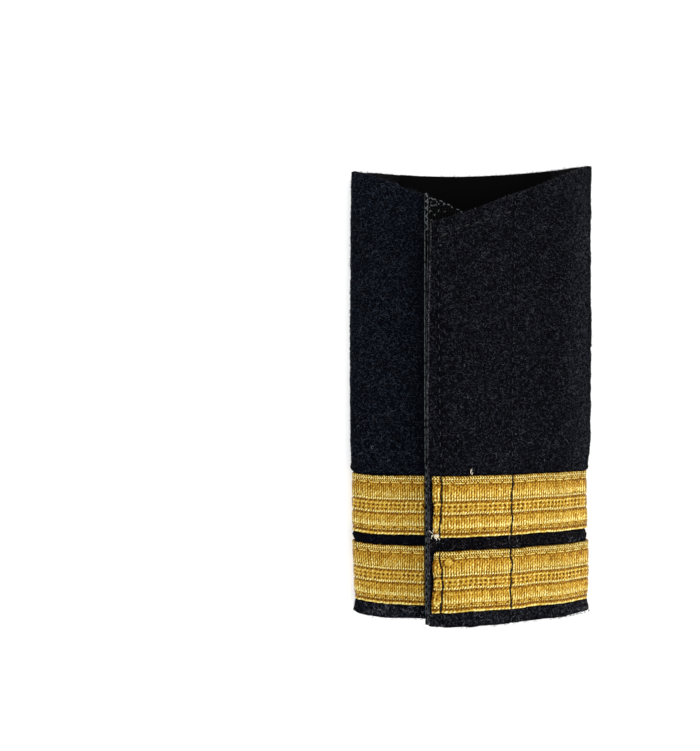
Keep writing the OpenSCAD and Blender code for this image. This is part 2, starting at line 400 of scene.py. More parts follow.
class Finish:
    """A material, with short ways to build its nodes. A colour is a tuple of three."""

    def __init__(self, name, roughness, specular):
        self.material = bpy.data.materials.new(name)
        self.material.use_nodes = True
        self.tree = self.material.node_tree
        self.shader = self.tree.nodes["Principled BSDF"]
        self.fill(self.shader, {"Roughness": roughness, "Specular IOR Level": specular})

    def fill(self, node, inputs):
        """Links a node's sockets, or sets their values."""
        for key, value in inputs.items():
            if isinstance(value, bpy.types.NodeSocket):
                self.tree.links.new(value, node.inputs[key])
            else:
                node.inputs[key].default_value = (*value, 1) if isinstance(value, tuple) else value
        return node

    def add(self, kind, inputs, **settings):
        node = self.tree.nodes.new(kind)
        for key, value in settings.items():
            setattr(node, key, value)
        return self.fill(node, inputs)

    def place(self):
        """The place on the whole part, in metres."""
        return self.add("ShaderNodeTexCoord", {}).outputs["Object"]

    def unrolled(self):
        """The place on the unrolled cloth, in millimetres."""
        return self.add("ShaderNodeTexCoord", {}).outputs["UV"]

    def tone(self):
        """The tone that a mesh carries at its points."""
        return self.add("ShaderNodeAttribute", {}, attribute_name="tone").outputs["Fac"]

    def noise(self, at, scale, detail=2.0, roughness=0.5, distortion=0.0):
        inputs = {"Vector": at, "Scale": scale, "Detail": detail}
        inputs.update({"Roughness": roughness, "Distortion": distortion})
        return self.add("ShaderNodeTexNoise", inputs).outputs["Fac"]

    def bands(self, at, direction, scale, distortion):
        inputs = {"Vector": at, "Scale": scale, "Distortion": distortion, "Detail": 1}
        node = self.add("ShaderNodeTexWave", inputs, wave_type="BANDS", bands_direction=direction)
        return node.outputs["Fac"]

    def ramp(self, value, stops):
        node = self.add("ShaderNodeValToRGB", {"Fac": value})
        elements = node.color_ramp.elements
        while len(elements) < len(stops):
            elements.new(0.5)
        for element, (position, colour) in zip(elements, stops):
            element.position = position
            element.color = (*colour, 1)
        return node.outputs["Color"]

    def maths(self, operation, *values, clamp=False):
        inputs = dict(enumerate(values))
        return self.add("ShaderNodeMath", inputs, operation=operation, use_clamp=clamp).outputs[0]

    def mixed(self, share, a, b, blend="MIX"):
        inputs = {"Factor": share, "A": a, "B": b}
        return self.add("ShaderNodeMix", inputs, data_type="RGBA", blend_type=blend).outputs["Result"]

    def times(self, a, b):
        return self.mixed(1.0, a, b, "MULTIPLY")

    def bump(self, heights, distance):
        """Bump from several (height socket, strength) pairs, chained."""
        normal = {}
        for height, strength in heights:
            inputs = {"Strength": strength, "Distance": distance, "Height": height, **normal}
            normal = {"Normal": self.add("ShaderNodeBump", inputs).outputs["Normal"]}
        self.fill(self.shader, normal)

    def coloured(self, colour, inputs=()):
        """Ends the material with its colour and any other inputs of the shader."""
        self.fill(self.shader, {"Base Color": colour, **dict(inputs)})
        return self.material


def floor_finish():
    finish = Finish("pale_floor", 0.9, 0.1)
    grain = finish.noise(finish.place(), 60, 3)
    return finish.coloured(finish.ramp(grain, [(0.3, (0.93, 0.93, 0.93)), (0.7, (0.96, 0.96, 0.96))]))


def felt_finish(name, dark, light, sheen):
    """Felt that is bluer on the short panel and warmer on the flap."""
    finish = Finish(name, 0.95, 0.03)
    at = finish.place()
    warmth = finish.tone()
    inside_share = finish.maths("SUBTRACT", warmth, 1, clamp=True)
    tangle = finish.noise(at, 2600, 6, 0.7, 1.2)
    patches = finish.noise(at, 260, 3, 0.6)
    cloud = finish.noise(at, 45, 2)
    fine = finish.ramp(tangle, [(0.36, dark), (0.70, light)])
    shade = finish.ramp(patches, [(0.25, (0.5, 0.5, 0.5)), (0.8, (1.3, 1.3, 1.3))])
    wide = finish.ramp(cloud, [(0.3, (0.85, 0.87, 0.9)), (0.7, (1.1, 1.08, 1.05))])
    tint = finish.mixed(warmth, (0.72, 0.98, 1.25), (1.15, 1.05, 1.05))
    tint = finish.mixed(inside_share, tint, (3.5, 2.7, 1.6))
    finish.bump([(patches, 0.5), (tangle, 0.9)], 0.00025)
    return finish.coloured(
        finish.times(finish.times(finish.times(fine, shade), wide), tint),
        {"Sheen Weight": sheen, "Sheen Roughness": 0.55, "Sheen Tint": (0.55, 0.58, 0.75)},
    )


def fibre_finish(name, dark, light):
    finish = Finish(name, 0.6, 0.12)
    at = finish.place()
    colour = finish.ramp(finish.noise(at, 1500, 1), [(0.36, dark), (0.62, light)])
    patches = finish.noise(at, 150, 2)
    shade = finish.ramp(patches, [(0.3, (0.72, 0.74, 0.8)), (0.7, (1.25, 1.22, 1.18))])
    return finish.coloured(finish.times(colour, shade))


def gold_finish():
    """Gold thread, darker to paler by the weave's tone, with grain and a faint slanted hatch. The tone's
    brown is painted shade and its pale gold painted highlight.
    """
    finish = Finish("gold_braid", 0.42, 0.1)
    unrolled = finish.unrolled()
    grain = finish.noise(unrolled, 2.6, 1, 0.5)
    patches = finish.noise(unrolled, 0.8, 2, 0.5)
    hatch = finish.bands(unrolled, "DIAGONAL", math.pi / 5 / (1.5 * RIB), 0.8)
    shifted = finish.maths("MULTIPLY_ADD", grain, 1.0, -0.6)
    hatched = finish.maths("MULTIPLY_ADD", hatch, 0.2, shifted)
    colour = finish.ramp(finish.maths("ADD", hatched, finish.tone()), GOLD_BY_TONE)
    tint = finish.ramp(patches, [(0.3, (0.94, 0.88, 0.80)), (0.7, (1.0, 1.0, 1.0))])
    finish.bump([(grain, 0.5)], 0.00004)
    return finish.coloured(finish.times(colour, tint), {"Metallic": 0.45})


def thread_finish(name, colour, roughness, fineness=4000, dark_share=0.6):
    finish = Finish(name, roughness, 0.15)
    twist = finish.noise(finish.place(), fineness, 2)
    finish.bump([(twist, 0.6)], 0.00005)
    dark = tuple(dark_share * c for c in colour)
    return finish.coloured(finish.ramp(twist, [(0.42, dark), (0.58, colour)]))


def web_finish(name, dark, light, pitch_mm, roughness):
    """Woven tape or lining: fine ribs along the cloth and a faint cross weave."""
    finish = Finish(name, roughness, 0.03)
    unrolled = finish.unrolled()
    ribs = finish.bands(unrolled, "X", 1 / pitch_mm * math.pi / 10, 0.6)
    grain = finish.noise(unrolled, 6, 3, 0.65)
    finish.bump([(ribs, 0.4), (grain, 0.35)], 0.00012)
    return finish.coloured(finish.ramp(grain, [(0.35, dark), (0.7, light)]))


# Meshes from arrays

def make_mesh(name, points, quads, triangles, material, unrolled=None, tone=None):
    mesh = bpy.data.meshes.new(name)
    quads = np.asarray(quads, np.int32).reshape(-1, 4)
    triangles = np.asarray(triangles, np.int32).reshape(-1, 3)
    corners = np.concatenate([quads.ravel(), triangles.ravel()])
    sizes = np.repeat([4, 3], [len(quads), len(triangles)])
    mesh.vertices.add(len(points))
    mesh.vertices.foreach_set("co", np.asarray(points, np.float32).ravel())
    mesh.loops.add(len(corners))
    mesh.loops.foreach_set("vertex_index", corners)
    mesh.polygons.add(len(sizes))
    mesh.polygons.foreach_set("loop_start", np.concatenate([[0], np.cumsum(sizes)[:-1]]).astype(np.int32))
    mesh.polygons.foreach_set("use_smooth", np.ones(len(sizes), bool))
    mesh.update(calc_edges=True)
    if unrolled is not None:
        layer = mesh.uv_layers.new(name="unrolled")
        layer.data.foreach_set("uv", np.asarray(unrolled, np.float32)[corners].ravel())
    if tone is not None:
        attribute = mesh.attributes.new("tone", "FLOAT", "POINT")
        attribute.data.foreach_set("value", np.asarray(tone, np.float32).ravel())
    mesh.materials.append(material)
    piece = bpy.data.objects.new(name, mesh)
    bpy.context.scene.collection.objects.link(piece)
    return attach(piece, "root")


def grid_faces(rows, cols, first=0, flip=False):
    index = first + np.arange(rows * cols).reshape(rows, cols)
    quads = np.stack([index[:-1, :-1], index[:-1, 1:], index[1:, 1:], index[1:, :-1]], -1).reshape(-1, 4)
    return quads[:, ::-1] if flip else quads


def edge_loop(rows, cols, first=0):
    """The indices round a grid's edge, in one turn."""
    index = first + np.arange(rows * cols).reshape(rows, cols)
    return np.concatenate([index[0], index[1:, -1], index[-1, -2::-1], index[-2:0:-1, 0]])


def slab(name, s, y, outer, inner, rim, material, tone=None, inner_tone=None):
    """Cloth with two faces. s and y are grids, and the inner face has every second row and column.

    outer, inner and rim give the distance out from the felt's outside at a grid's points.
    """
    rows, cols = s.shape
    s_in, y_in = s[::2, ::2], y[::2, ::2]
    top = place(s, y, outer).reshape(-1, 3)
    low = place(s_in, y_in, inner[::2, ::2]).reshape(-1, 3)
    loop = edge_loop(rows, cols)
    middle = place(s.ravel()[loop], y.ravel()[loop], rim.ravel()[loop])
    n = len(loop)
    middle_at = len(top) + np.arange(n)
    low_first = len(top) + n
    low_loop = edge_loop(*s_in.shape, first=low_first)
    after = np.roll(np.arange(n), -1)
    wall = np.stack([loop, loop[after], middle_at[after], middle_at], 1)
    a, b, c = middle_at[0::2], middle_at[1::2], np.roll(middle_at[0::2], -1)
    low_next = np.roll(low_loop, -1)
    fans = np.concatenate([
        np.stack([a, b, low_loop], 1), np.stack([b, low_next, low_loop], 1), np.stack([b, c, low_next], 1),
    ])
    quads = np.concatenate([
        grid_faces(rows, cols, flip=True), wall, grid_faces(*s_in.shape, first=low_first),
    ])
    flat = np.stack([s, y], -1).reshape(-1, 2)
    unrolled = np.concatenate([flat, flat[loop], np.stack([s_in, y_in], -1).reshape(-1, 2)])
    tones = None
    if tone is not None:
        tones = np.concatenate([tone.ravel(), tone.ravel()[loop], np.full(s_in.size, inner_tone)])
    return make_mesh(name, np.concatenate([top, middle, low]), quads, fans, material, unrolled, tones)


def strands(name, paths, ups, radii, material, sides=3):
    """Closed strands that end in a point, all with as many points. radii in mm, one for each point."""
    count, length = paths.shape[:2]
    radii = np.broadcast_to(radii, (count, length))
    tangent = np.gradient(paths, axis=1)
    tangent /= np.linalg.norm(tangent, axis=2, keepdims=True) + 1e-12
    side = np.cross(tangent, ups)
    side /= np.linalg.norm(side, axis=2, keepdims=True) + 1e-12
    up = np.cross(side, tangent)
    turn = 2 * math.pi * np.arange(sides) / sides
    ring = (np.cos(turn)[:, None] * side[:, 1:-1, None] + np.sin(turn)[:, None] * up[:, 1:-1, None])
    rings = paths[:, 1:-1, None] + ring * (radii[:, 1:-1, None, None] * MM)
    points = np.concatenate([
        paths[:, :1], rings.reshape(count, (length - 2) * sides, 3), paths[:, -1:],
    ], 1)
    per = points.shape[1]
    k = np.arange(sides)
    k_next = (k + 1) % sides
    start = np.stack([0 * k, 1 + k, 1 + k_next], 1)
    last_ring = 1 + (length - 3) * sides
    end = np.stack([0 * k + per - 1, last_ring + k_next, last_ring + k], 1)
    ring_at = 1 + np.arange(length - 3)[:, None] * sides
    walls = np.stack([ring_at + k, ring_at + sides + k, ring_at + sides + k_next, ring_at + k_next], -1)
    shift = np.arange(count)[:, None, None] * per
    triangles = (np.concatenate([start, end])[None] + shift).reshape(-1, 3)
    quads = (walls.reshape(-1, 4)[None] + shift).reshape(-1, 4)
    return make_mesh(name, points.reshape(-1, 3), quads, triangles, material)


# Felt

# Long stitch lines on the flap: place along the sleeve, x
FIRST_STITCH = [
    (-55, -8.85), (-50, -8.97), (-46, -8.56), (-42.5, -8.76), (-39.3, -9.32), (-33.5, -9.34),
    (-30.5, -9.12), (-28, -8.88), (-22, -8.9), (20, -9.4), (37, -9.55),
]
SECOND_STITCH = [
    (-55, 8.0), (-51, 7.64), (-48, 7.4), (-43, 7.68), (-41, 7.8), (-39, 7.42), (-33.5, 7.62),
    (-31, 7.86), (-26, 7.66), (-23, 7.88), (-21, 8.1), (-12, 8.4), (41, 9.3),
]
# The slanted line: its two ends on the flap
SLANT_STITCH = ((-9.1, 35.4), (10.0, 42.5))
# How far the braids lie above their straight way: way round the sleeve, shift
UPPER_SHIFT = [
    (S_LAP, -0.35), (s_under(-16.0), -0.42), (s_under(-26.0), -0.58), (S_BACK, -0.4), (S_BACK_END, 0.2),
    (s_flap(25.0), 0.32), (s_flap(20.0), 0.36), (s_flap(8.5), 0.22), (s_flap(-2.0), 0.42),
    (S_FLAP, 0.2),
]
LOWER_SHIFT = [
    (S_LAP, -0.18), (s_under(-20.0), 0.0), (s_under(-28.0), -0.05), (S_BACK, -0.1), (S_BACK_END, 0.1),
    (s_flap(25.0), 0.2), (s_flap(20.0), 0.24), (s_flap(8.5), 0.06), (s_flap(-2.5), 0.42),
    (S_FLAP, -0.12),
]
EDGE_ROUND = 0.5
# Distances from a cloth's edge that have a row of points each
NEAR_EDGE = [0, 0.05, 0.15, 0.3, 0.5]
# The felt's tone: 0 on the short panel, 1 on the flap, and this, which is browner, on its inside
INSIDE_TONE = 2.0
# Unevenness of the felt's outside, its inside and its cut ends: height, size, seed
OUTSIDE_ROUGH = [(0.10, 6.1, 3), (0.08, 2.3, 5), (0.07, 0.95, 7)]
INSIDE_ROUGH = [(0.06, 2.9, 19)]
RAGGED_END = [(0.10, 2.1, 13), (0.05, 0.7, 17)]
# How deep the braids press in the felt
PRESSED = 0.06
# How the stitch lines draw in the felt: depth, reach
LONG_SINK = (0.25, 0.4)
SLANT_SINK = (0.28, 0.45)
# How far the flap's free edge is off its straight line: place along the sleeve, shift outwards
EDGE_SHIFT = [
    (-55, 0.42), (-49, 0.44), (-35, 0.42), (-21, 0.44), (-15, 0.56), (-7, 0.62), (2, 0.58), (10, 0.46),
    (17, 0.42), (24, 0.22), (29, 0.1), (33, -0.04), (36.3, -0.06), (42, -0.18),
]


def stitch_wave(y):
    """How far a long stitch line wanders from its straight way."""
    return 0.03 * np.sin(y / 1.35) + 0.085 * np.sin(y / 0.61 + 1)


def stitch_sink(s, y):
    """How deep the stitch lines draw in the felt of the flap."""
    sink = 0
    for line in (FIRST_STITCH, SECOND_STITCH):
        sink = sink + LONG_SINK[0] * bump_at(s - s_flap(looked_up(y, line)), LONG_SINK[1])
    (x0, y0), (x1, y1) = SLANT_STITCH
    s0, s1 = s_flap(x0), s_flap(x1)
    share = np.clip((s - s0) / (s1 - s0), 0, 1)
    away = np.hypot(y - y0 - (y1 - y0) * share, s - s0 - (s1 - s0) * share)
    return sink + SLANT_SINK[0] * bump_at(away, SLANT_SINK[1])


def braid_shift(s, low):
    """How far a braid lies above its straight way round the sleeve."""
    table = UPPER_SHIFT if low == UPPER_BRAID_Y else LOWER_SHIFT
    return looked_up(s, table)


def under_braid(s, y):
    """1 where a braid covers the felt, easing to 0 beside it."""
    cover = 0
    for low in (LOWER_BRAID_Y, UPPER_BRAID_Y):
        at = y - low - braid_shift(s, low)
        cover = cover + eased(np.clip(np.minimum(at, BRAID_W - at) / 0.5 + 0.5, 0, 1))
    return cover


def on_folds(s):
    """1 on the two folds, easing to 0 beyond them on the front and the back."""
    ease = 6
    middles = ((S_UNDER_END + S_BACK) / 2, (S_BACK_END + S_FLAP_START) / 2)
    short, long = (eased(np.clip(1.6 - np.abs(s - middle) / ease, 0, 1)) for middle in middles)
    return short + long


def swelling(s, y):
    """How far the felt swells beside the tight braids. Between them it is drawn in."""
    above = 0.62 * bump_at(y - BRAID_TOP_Y - 0.7, 1.1) * (y > BRAID_TOP_Y - 0.5)
    below = 0.42 * (y < LOWER_BRAID_Y + 0.3)
    between = -0.1 * bump_at(y - UPPER_BRAID_Y + BRAID_GAP / 2, 1.3)
    return (above + below + between) * on_folds(s) + 0.22 * bump_at(y - BRAID_TOP_Y - 0.6, 0.8)


def felt_relief(s, y):
    """How far the felt's outside stands off its smooth form."""
    bare = 1 - under_braid(s, y)
    relief = (uneven(s, y, OUTSIDE_ROUGH) + swelling(s, y)) * bare
    return relief - PRESSED * (1 - bare) - stitch_sink(s, y)


def edge_push(s, y):
    """How far the flap's cloth is off its straight place, near its free edge."""
    ease = 6
    near = eased(np.clip((s - S_FLAP + ease) / ease, 0, 1))
    return near * (looked_up(y, EDGE_SHIFT) + 0.06 * lumps(y, 0, 1.7, 11))


def spaced(stops):
    """Places between stops, each (place, spacing up to it), as an even number of intervals."""
    out = [np.array([stops[0][0]])]
    for (a, _), (b, spacing) in zip(stops, stops[1:]):
        n = 2 * max(1, round((b - a) / spacing / 2))
        out.append(np.linspace(a, b, n + 1)[1:])
    return np.concatenate(out)


def cloth_grid(s, low, top, spacing):
    """Grids of s, y and distance to the cloth's edge, with close rows near its two ends."""
    inside = spaced([(0, 1), (1, spacing / (LONG_TIP_Y - BOTTOM_Y))])[1:-1]
    inside = inside if len(inside) % 2 else np.append(inside, (1 + inside[-1]) / 2)
    near = np.array(NEAR_EDGE)[:, None]
    low, top = low + 0 * s, top + 0 * s
    middle = low + near[-1] + (top - low - 2 * near[-1]) * inside[:, None]
    y = np.concatenate([low + near, middle, top - near[::-1]])
    s = np.broadcast_to(s, y.shape)
    edge = np.minimum(np.minimum(y - low, top - y), np.minimum(s - s[0, 0], s[0, -1] - s))
    return s, y, edge


def rounded(edge, reach):
    """How far a cloth's face drops towards its cut edge."""
    return reach - np.sqrt(reach**2 - np.clip(reach - edge, 0, reach) ** 2)


def with_close_ends(inner):
    near = np.array(NEAR_EDGE)
    return np.concatenate([inner[0] - near[::-1], inner[1:-1], inner[-1] + near])


def make_felt(material):
    near = NEAR_EDGE[-1]
    s = with_close_ends(spaced([
        (S_LAP + near, 0.5), (S_UNDER_END, 0.5), (S_BACK, 0.4), (S_BACK_END, 0.95), (S_FLAP_START, 0.4),
        (S_FLAP - near, 0.5),
    ]))
    ragged = uneven(s, 0, RAGGED_END)
    low, top = lower_end(s) + 0.1 + ragged, upper_end(s) - 0.05 + np.roll(ragged, 31)
    s, y, edge = cloth_grid(s, low, top, 0.5)
    outer = felt_relief(s, y) - rounded(edge, EDGE_ROUND)
    inner = -FELT_T + uneven(s, y, INSIDE_ROUGH) + rounded(edge, EDGE_ROUND)
    rim = 0 * s - FELT_T / 2
    warmth = eased(np.clip((s - S_BACK) / (S_BACK_END - S_BACK), 0, 1)) + 0 * y
    pushed = s + edge_push(s, y)
    felt = slab("sleeve_felt", pushed, y, outer, inner, rim, material, warmth, INSIDE_TONE)
    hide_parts("felt_sleeve")
    return felt


def fibre_paths(seed, s, y, length, lift, sink, points=5, heading=None, curl=1.3, out=None):
    """Curved strands of this length from s, y. lift is how far their middle stands off, in mm."""
    rng = np.random.default_rng(seed)
    n = len(s)
    heading = rng.uniform(0, 2 * math.pi, n) if heading is None else heading
    turn = rng.normal(0, curl, n)
    t = np.linspace(0, 1, points)
    angle = heading[:, None] + turn[:, None] * (t - 0.5)[None] * length[:, None]
    step = (length / (points - 1))[:, None]
    along_s = np.cumsum(np.cos(angle) * step, 1) - np.cos(angle[:, :1]) * step
    along_y = np.cumsum(np.sin(angle) * step, 1) - np.sin(angle[:, :1]) * step
    ss, yy = s[:, None] + along_s, y[:, None] + along_y
    if out is None:
        yy = np.clip(yy, lower_end(ss) - 0.1, upper_end(ss) + 0.1)
    height = -sink + lift[:, None] * 4 * t * (1 - t)
    base = felt_relief(ss, yy) if out is None else out
    return place(ss, yy, base + height), outward(ss)


# Bright specks of lint: x, place along the sleeve, length
SPECKS = [
    (-25.25, -14.25, 1.0), (-25.0, -14.1, 0.7), (-1.08, 7.91, 0.9), (-0.95, 7.8, 0.8),
    (-18.3, 25.5, 0.6), (-22.0, 21.6, 0.6), (-28.0, -9.6, 0.6), (20.0, 24.5, 0.6), (-9.2, 33.0, 0.6),
    (22.5, -12.6, 0.7), (26.4, -9.0, 0.7), (9.5, -11.0, 0.6),
]
# Pale hairs on the flap's margin, the short panel's margin, the gap between the braids, and the
# flap above them: way round from and to, place along from and to, count, a fifth of their length
HAIRS = [
    (S_FLAP_START, S_FLAP - 0.3, BOTTOM_Y + 0.6, LOWER_BRAID_Y - 0.3, 60, 0.28),
    (s_under(HOOK_LEFT) + 0.5, S_UNDER_END, BOTTOM_Y + 0.6, LOWER_BRAID_Y - 0.3, 60, 0.28),
    (S_FLAP_START, S_FLAP - 0.3, UPPER_BRAID_Y - 2.7, UPPER_BRAID_Y - 0.4, 26, 0.28),
    (S_FLAP_START, S_FLAP, -19, 34, 26, 0.14),
]


def scattered(rng, s_low, s_high, y_low, y_high, per_mm2, keep):
    n = int(per_mm2 * (s_high - s_low) * (y_high - y_low))
    s, y = rng.uniform(s_low, s_high, n), rng.uniform(y_low, y_high, n)
    kept = keep(s, y)
    return s[kept], y[kept]


def bare_felt(s, y):
    beyond_braid = s > s_flap(FLAP_X + BRAID_INSET) + 0.15
    return (y < upper_end(s) - 0.15) & ((under_braid(s, y) < 0.02) | beyond_braid)


def tapered(points):
    """Share of a strand's thickness at its points."""
    t = np.linspace(0, 1, points)
    return np.clip(1.15 * (1 - np.abs(2 * t - 1) ** 2.5), 0, 1)


def make_fibres(
    name, seed, s_low, s_high, per_mm2, material, points=3, mean=0.72, lift=0.12, radius=0.046,
    reach=(BOTTOM_Y - 0.4, LONG_TIP_Y), fade=0.0,
):
    """Fibres on the bare felt, most of them lying across the sleeve.

    They are fewer beside the hook tape, at the short fold and along the two long stitch lines, and
    fewer in the gap between the braids, unless reach ends there. fade thins them out before s_high.
    """
    rng = np.random.default_rng(seed)
    s, y = scattered(rng, s_low, s_high, *reach, per_mm2, bare_felt)
    # Fewer fibres leave the dark felt bare: beside the hook tape this is painted shadow of the flap and
    # tape, and at the short fold painted shade where the felt turns away from the light.
    sparse = 0.75 * bump_at(s - s_under(HOOK_LEFT) - 0.4, 1.3)
    sparse = sparse + 0.4 * bump_at(s - S_UNDER_END, 3.5)
    for line, share in ((FIRST_STITCH, 0.6), (SECOND_STITCH, 0.9)):
        sparse = sparse + share * bump_at(s - s_flap(looked_up(y, line) + stitch_wave(y)), 0.42)
    in_gap = (y > LOWER_BRAID_Y + BRAID_W) & (y < UPPER_BRAID_Y)
    kept = rng.uniform(size=len(s)) > sparse + 0.7 * in_gap * (reach[0] < LOWER_BRAID_Y)
    if fade:
        kept &= rng.uniform(size=len(s)) < (s_high - s) / fade
    s, y = s[kept], y[kept]
    n = len(s)
    heading = rng.normal(0, 0.75, n)
    length = rng.gamma(6.0, mean / 6, n)
    high = lift * rng.uniform(0.3, 1.6, n)
    paths, ups = fibre_paths(seed + 1, s, y, length, high, 0.05, points, heading)
    radii = radius * rng.uniform(0.6, 1.3, n)[:, None] * tapered(points)
    piece = strands(name, paths, ups, radii, material)
    return piece


def cross_edge(s_from, s_to, upper):
    """Rows along the felt's upper or lower edge: s, y, heading outwards."""
    s = np.arange(s_from, s_to, 0.05)
    y = upper_end(s) - 0.1 if upper else lower_end(s) + 0.15
    return np.stack([s, y, 0 * s + (math.pi / 2 if upper else -math.pi / 2)], 1)


def free_edge(y_high):
    """Rows along the flap's free edge: s, y, heading outwards."""
    y = np.arange(BOTTOM_Y + 0.1, y_high - 0.1, 0.05)
    return np.stack([S_FLAP + looked_up(y, EDGE_SHIFT) - 0.18, y, 0 * y], 1)


def make_lint(name, material):
    """Pale hairs, most on the narrow bare strips, and a few specks elsewhere."""
    rng = np.random.default_rng(151)
    parts = []
    for s_low, s_high, low, high, count, unit in HAIRS:
        s, y = rng.uniform(s_low, s_high, count), rng.uniform(low, high, count)
        parts.append((s, y, rng.gamma(5, unit, count)))
    x, y, length = np.array(SPECKS).T
    parts.append((np.where(x < HOOK_LEFT, s_under(x), s_flap(x)), y, length))
    s, y, length = (np.concatenate([part[k] for part in parts]) for k in range(3))
    radius = np.where(np.arange(len(s)) < len(s) - len(SPECKS), 0.030, 0.05)
    paths, ups = fibre_paths(152, s, y, length, 0.25 + 0 * s, 0.0, 6, curl=1.8)
    radii = (radius * rng.uniform(0.7, 1.3, len(s)))[:, None] * tapered(6)
    piece = strands(name, paths, ups, radii, material)
    return piece


def make_edge_fibres(name, seed, count, rows, mean, material, depth_to=FELT_T - 0.1, back_by=0.0):
    """Short fibres that stand out of a cut edge of the felt, over its whole thickness."""
    rng = np.random.default_rng(seed)
    rows = rows[rng.integers(0, len(rows), count)]
    length = rng.gamma(5.0, mean / 5, count)
    heading = rows[:, 2] + rng.normal(0, 0.9, count)
    depth = rng.uniform(-depth_to, 0.12 if back_by else 0.0, count)[:, None]
    start = rows[:, 0] - back_by * rng.uniform(0, 1, count)
    paths, ups = fibre_paths(
        seed + 1, start, rows[:, 1], length, rng.normal(0, 0.12, count), 0.0, 4, heading, 2.0, depth
    )
    radii = 0.03 * rng.uniform(0.6, 1.3, count)[:, None] * tapered(4)
    piece = strands(name, paths, ups, radii, material)
    return piece


# Braid

RIB = 0.605
HOLE_PITCH = 3.0
# Rows across the braid, in millimetres from its upper edge
BRAID_ROWS = np.array([
    0, 0.03, 0.08, 0.15, 0.22, 0.3, 0.38, 0.45, 0.53, 0.6, 0.67, 0.75, 0.83, 0.9, 1.0, 1.08, 1.16,
    1.26, 1.36, 1.46, 1.54, 1.63, 1.72, 1.8, 1.9, 2.05, 2.3, 2.8, 3.4, 3.9, 4.4, 4.8, 5.05, 5.17,
    5.27, 5.4, 5.52, 5.65, 5.76, 5.88, 6.0, 6.12, 6.24, 6.36, 6.5, 6.62, 6.74, 6.86, 7.0, 7.13,
    7.26, 7.4, 7.55, 7.68, 7.8, 7.9, 8.0, 8.12, 8.24, 8.34, 8.46, 8.58, 8.7, 8.82, 8.94, 9.06,
    9.18, 9.3, 9.5, 9.85, 10.25, 10.7, 11.1, 11.5, 11.9, 12.08, 12.2, 12.32, 12.44, 12.56, 12.68,
    12.8, 12.92, 13.02, 13.12, 13.24, 13.38, 13.5, 13.62, 13.76, 13.9, 14.02, 14.12, 14.2,
])
# Cords along the braid: middle, half width, bead pitch, slant, tone between beads, on them, height. Between
# beads and on a cord's sides the tone is painted shade, on the beads painted highlight.
CORDS = [
    (0.22, 0.23, RIB, -0.8, -0.24, 0.96, 0.75),
    (0.66, 0.24, RIB, 0.8, 0.06, 1.36, 0.90),
    (1.16, 0.26, RIB, -0.8, -0.30, 0.95, 0.60),
    (5.46, 0.29, RIB, 0.3, 0.12, 1.50, 0.95),
    (8.56, 0.29, RIB, 0.5, 0.12, 1.50, 0.95),
    (12.80, 0.22, RIB, 0.6, -0.08, 1.02, 0.50),
    (13.86, 0.25, 1.6 * RIB, 0.5, 0.62, 0.98, 0.55),
]
# Painted shade in the lines where the weave dips: from, to, tone
DIPS = [(5.76, 6.26, 0.10), (8.86, 9.28, 0.08), (13.04, 13.48, 0.0)]
# Machine stitches along the braid: middle, tone. Their needle holes are painted darker, painted shade.
SEWN = [(1.63, 0.82), (12.34, 0.58)]
# Ribbed fields: their tone by rows, paler towards each field's lower side, which is painted light
RIBBED = [
    [(1.86, 0.20), (2.1, 0.30), (2.4, 0.37), (3.0, 0.39), (3.6, 0.44), (4.4, 0.56), (4.85, 0.49),
     (5.2, 0.50)],
    [(9.25, 0.32), (9.45, 0.44), (9.8, 0.50), (10.25, 0.42), (10.7, 0.47), (11.1, 0.56), (11.5, 0.69),
     (11.95, 0.70), (12.14, 0.42)],
]
# The middle band: from, to
BAND = (6.16, 8.34)
# Its two rows of holes: middle, shift
HOLES = [(7.0, 0.0), (8.0, 0.14)]
# The beads beside the holes: middle, shift as a share of their pitch, tone, which is mostly painted
# highlight
BAND_BEADS = [(6.55, 0.45, 0.36), (7.5, 0.4, 0.36), (7.5, 0.0, -0.08), (8.3, 0.5, 0.2)]


def ridge(distance, half):
    """A round ridge's height, from 1 on its top to 0 at half its width."""
    return np.sqrt(np.clip(1 - (distance / half) ** 2, 0, 1))


def beaded(u, pitch):
    """1 on every strand and 0 between them, at this pitch."""
    return 0.5 + 0.5 * np.cos(2 * math.pi * u / pitch)


def apart(u, pitch):
    """Distance to the nearest of places this far apart."""
    return u - np.round(u / pitch) * pitch


def inside(v, low, high, soft):
    """1 from low to high, softened at both ends."""
    return eased(np.clip((v - low) / soft, 0, 1)) * eased(np.clip((high - v) / soft, 0, 1))


def stitched(u):
    """1 along a machine stitch, 0 at its needle holes."""
    return 1 - bump_at(apart(u, HOLE_PITCH), 0.26)


# The weave is put down in layers. Each gives where it covers, its height and its tone. Low tone is mostly
# painted shade in hollows and high tone painted highlight on what stands up, with random unevenness.

def ribbed_fields(u, v, per_rib, seed):
    """Fields of ribs that bulge a little, each rib of two twisted strands. Crests are painted paler and the
    gaps darker, painted highlight and shade, more so towards a field's lower side.
    """
    for rows in RIBBED:
        low, high = rows[0][0], rows[-1][0]
        bulge = 0.6 + 0.25 * np.sin(math.pi * np.clip((v - low) / (high - low), 0, 1))
        twist = lumps(u, v * 0.6, 0.3, seed + 3)
        crest = beaded(u + 0.04 * lumps(u, v, 0.6, seed + 6), RIB)
        lower = eased(np.clip(2 * (v - low) / (high - low) - 0.5, 0, 1))
        light = looked_up(v, rows) + (0.30 + 0.38 * lower) * (crest - 0.5)
        light = light + 0.05 * per_rib + 0.20 * twist
        yield inside(v, low, high, 0.16), bulge * (0.6 + 0.4 * crest), light


